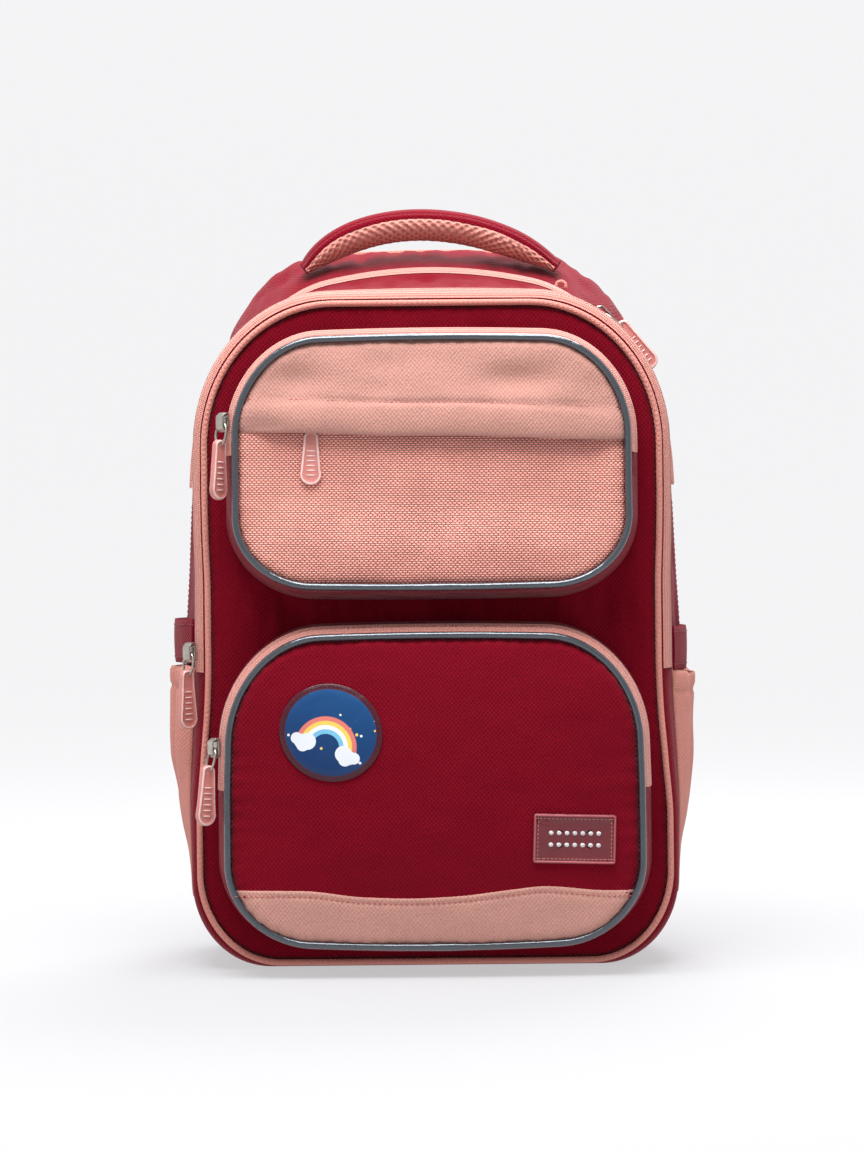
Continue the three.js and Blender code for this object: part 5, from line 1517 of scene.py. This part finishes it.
def build_stage(settings):
    camera = bpy.data.cameras.new("camera")
    camera.lens, camera.sensor_width, camera.clip_start, camera.clip_end = 94.9, 36, 0.05, 60
    eye = bpy.data.objects.new("camera", camera)
    eye.location = (-0.0004, -1.762, 0.2195)
    eye.rotation_euler = (math.pi / 2, 0.0096, 0)
    bpy.context.scene.collection.objects.link(eye)
    bpy.context.scene.camera = eye

    turn, around = np.linspace(0, math.pi / 2, 24), np.arange(96) / 96 * 2 * math.pi
    floor_reach, bend, wall_top = 2.4, 1.6, 6.0
    profile = [(0.01, 0.0), (1.0, 0.0), *zip(floor_reach + bend * np.sin(turn), bend - bend * np.cos(turn)),
               (floor_reach + bend, wall_top)]
    rings = [np.stack([r * np.cos(around), r * np.sin(around), 0 * around + z], 1) for r, z in profile]
    backdrop = Finish("paper", "Object")
    tint = tuple(settings.paper) + (1.0,)
    across, back, up = backdrop.axes()
    # The backdrop's glow rises towards the wall behind. Near the bag the glow is raised as painted light,
    # which washes out the bag's shadow on the floor.
    spread = 1.69
    shadow_fill_share = (spread / (across * across + back * back + up * up + spread)).power(2.0)
    behind = ((back + 3.0) / 3.5).clamp()
    far_glow = backdrop.mix(behind, (0.45, 0.45, 0.46, 1.0), (0.99, 0.99, 1.0, 1.0))
    glow = backdrop.mix(shadow_fill_share, far_glow, (0.66, 0.66, 0.67, 1.0))
    backdrop.surface(Base_Color=tint, Roughness=0.9, Specular_IOR_Level=0.1,
                     Emission_Color=glow, Emission_Strength=settings.paper_glow)
    sweep = grid_piece("backdrop", np.array(rings) / MM, backdrop.material, wrap=True)
    turn_by_point(sweep, np.array([0, 0, 2000]))
    sweep.data.flip_normals()

    bpy.context.scene.view_settings.view_transform = "Standard"
    world = bpy.data.worlds.new("studio")
    bpy.context.scene.world = world
    world.use_nodes = True
    sky = world.node_tree.nodes["Background"].inputs
    sky["Color"].default_value, sky["Strength"].default_value = (0.95, 0.97, 1.0, 1.0), settings.room_light
    area_light("top_light", (-0.08, -0.38, 1.3), (0, 0, 0.2), 0.9, settings.top_light)
    area_light("rear_light", (0.25, 0.75, 1.35), (0, 0.05, 0.36), 0.7, settings.rear_light)
    area_light("front_light", (-1.0, -2.6, 1.5), (0, 0, 0.2), 2.2, settings.front_light)


# ---------------------------------------------------------------------------------------------------------
# Add-on


class BackpackSettings(bpy.types.PropertyGroup):
    red: FloatVectorProperty(
        name="Red cloth", description="Colour of the body's cloth",
        subtype="COLOR", size=3, min=0, max=1, default=linear(117, 0, 24)[:3],
    )
    pink: FloatVectorProperty(
        name="Pink cloth", description="Colour of the flap, band and piping",
        subtype="COLOR", size=3, min=0, max=1, default=linear(202, 148, 136)[:3],
    )
    coral: FloatVectorProperty(
        name="Coral cloth", description="Colour of the woven panel, zips and mesh",
        subtype="COLOR", size=3, min=0, max=1, default=linear(212, 142, 130)[:3],
    )
    grey: FloatVectorProperty(
        name="Grey piping", description="Colour of the pockets' piping",
        subtype="COLOR", size=3, min=0, max=1, default=linear(74, 80, 88)[:3],
    )
    weave_pitch: FloatProperty(
        name="Weave pitch", description="Width of one thread's wave in the plain cloth",
        unit="LENGTH", min=0.0005, default=0.0023,
    )
    basket_pitch: FloatProperty(
        name="Basket pitch", description="Width of one knot of the coarse weave",
        unit="LENGTH", min=0.0005, default=0.0025,
    )
    stitch_pitch: FloatProperty(
        name="Stitch pitch", description="Distance from one stitch to the next",
        unit="LENGTH", min=0.001, default=0.0029,
    )
    tooth_pitch: FloatProperty(
        name="Tooth pitch", description="Distance from one zip tooth to the next",
        unit="LENGTH", min=0.001, default=0.0015,
    )
    paper: FloatVectorProperty(
        name="Backdrop", description="Colour of the floor and backdrop",
        subtype="COLOR", size=3, min=0, max=1, default=(0.22, 0.22, 0.225),
    )
    paper_glow: FloatProperty(
        name="Backdrop glow", description="Light the backdrop gives", min=0, default=0.76,
    )
    room_light: FloatProperty(
        name="Room light", description="Strength of the even light", min=0, default=0.1,
    )
    top_light: FloatProperty(
        name="Top light", description="Power of the light above", unit="POWER", min=0, default=25,
    )
    rear_light: FloatProperty(
        name="Rear light", description="Power of the light above and behind", unit="POWER", min=0, default=16,
    )
    front_light: FloatProperty(
        name="Front light", description="Power of the light in front", unit="POWER", min=0, default=2,
    )


class BACKPACK_OT_stage(bpy.types.Operator):
    """Sets up the camera, the backdrop, the lights and the finishes"""

    bl_idname = "backpack.stage"
    bl_label = "Stage"

    def execute(self, context):
        build_stage(context.scene.backpack)
        make_finishes(context.scene.backpack)
        return {"FINISHED"}


class BACKPACK_OT_body(bpy.types.Operator):
    """Builds the body's cloth, its front panel and its piping"""

    bl_idname = "backpack.body"
    bl_label = "Body"

    def execute(self, context):
        build_body()
        return {"FINISHED"}


class BACKPACK_OT_zips(bpy.types.Operator):
    """Builds the zip tapes with their teeth"""

    bl_idname = "backpack.zips"
    bl_label = "Zips"

    def execute(self, context):
        build_zips()
        return {"FINISHED"}


class BACKPACK_OT_upper_pocket(bpy.types.Operator):
    """Builds the upper pocket with its flap and woven panel"""

    bl_idname = "backpack.upper_pocket"
    bl_label = "Upper pocket"

    def execute(self, context):
        build_upper_pocket()
        return {"FINISHED"}


class BACKPACK_OT_lower_pocket(bpy.types.Operator):
    """Builds the lower pocket with its band and patches"""

    bl_idname = "backpack.lower_pocket"
    bl_label = "Lower pocket"

    def execute(self, context):
        build_lower_pocket()
        return {"FINISHED"}


class BACKPACK_OT_sides(bpy.types.Operator):
    """Builds the side pockets and side straps"""

    bl_idname = "backpack.sides"
    bl_label = "Sides"

    def execute(self, context):
        build_sides()
        return {"FINISHED"}


class BACKPACK_OT_handle(bpy.types.Operator):
    """Builds the padded grab handle"""

    bl_idname = "backpack.handle"
    bl_label = "Handle"

    def execute(self, context):
        build_handle()
        return {"FINISHED"}


class BACKPACK_OT_back(bpy.types.Operator):
    """Builds the back, its pads and the shoulder straps"""

    bl_idname = "backpack.back"
    bl_label = "Back and straps"

    def execute(self, context):
        build_back()
        return {"FINISHED"}


class BACKPACK_OT_pulls(bpy.types.Operator):
    """Builds the zip sliders, rings and tabs"""

    bl_idname = "backpack.pulls"
    bl_label = "Zip pulls"

    def execute(self, context):
        build_pulls()
        return {"FINISHED"}


OPERATORS = (
    BACKPACK_OT_stage, BACKPACK_OT_body, BACKPACK_OT_zips, BACKPACK_OT_upper_pocket, BACKPACK_OT_lower_pocket,
    BACKPACK_OT_sides, BACKPACK_OT_handle, BACKPACK_OT_back, BACKPACK_OT_pulls,
)


class BACKPACK_PT_panel(bpy.types.Panel):
    bl_label = "Backpack"
    bl_idname = "BACKPACK_PT_panel"
    bl_space_type = "VIEW_3D"
    bl_region_type = "UI"
    bl_category = "Backpack"

    def draw(self, context):
        settings = context.scene.backpack
        for name in BackpackSettings.__annotations__:
            self.layout.prop(settings, name)
        for operator in OPERATORS:
            self.layout.operator(operator.bl_idname)


CLASSES = (BackpackSettings, *OPERATORS, BACKPACK_PT_panel)


def register():
    for cls in CLASSES:
        bpy.utils.register_class(cls)
    bpy.types.Scene.backpack = PointerProperty(type=BackpackSettings)


def unregister():
    del bpy.types.Scene.backpack
    for cls in reversed(CLASSES):
        bpy.utils.unregister_class(cls)


def main():
    register()
    for operator in OPERATORS:
        group, name = operator.bl_idname.split(".")
        getattr(getattr(bpy.ops, group), name)()


if __name__ == "__main__":
    main()
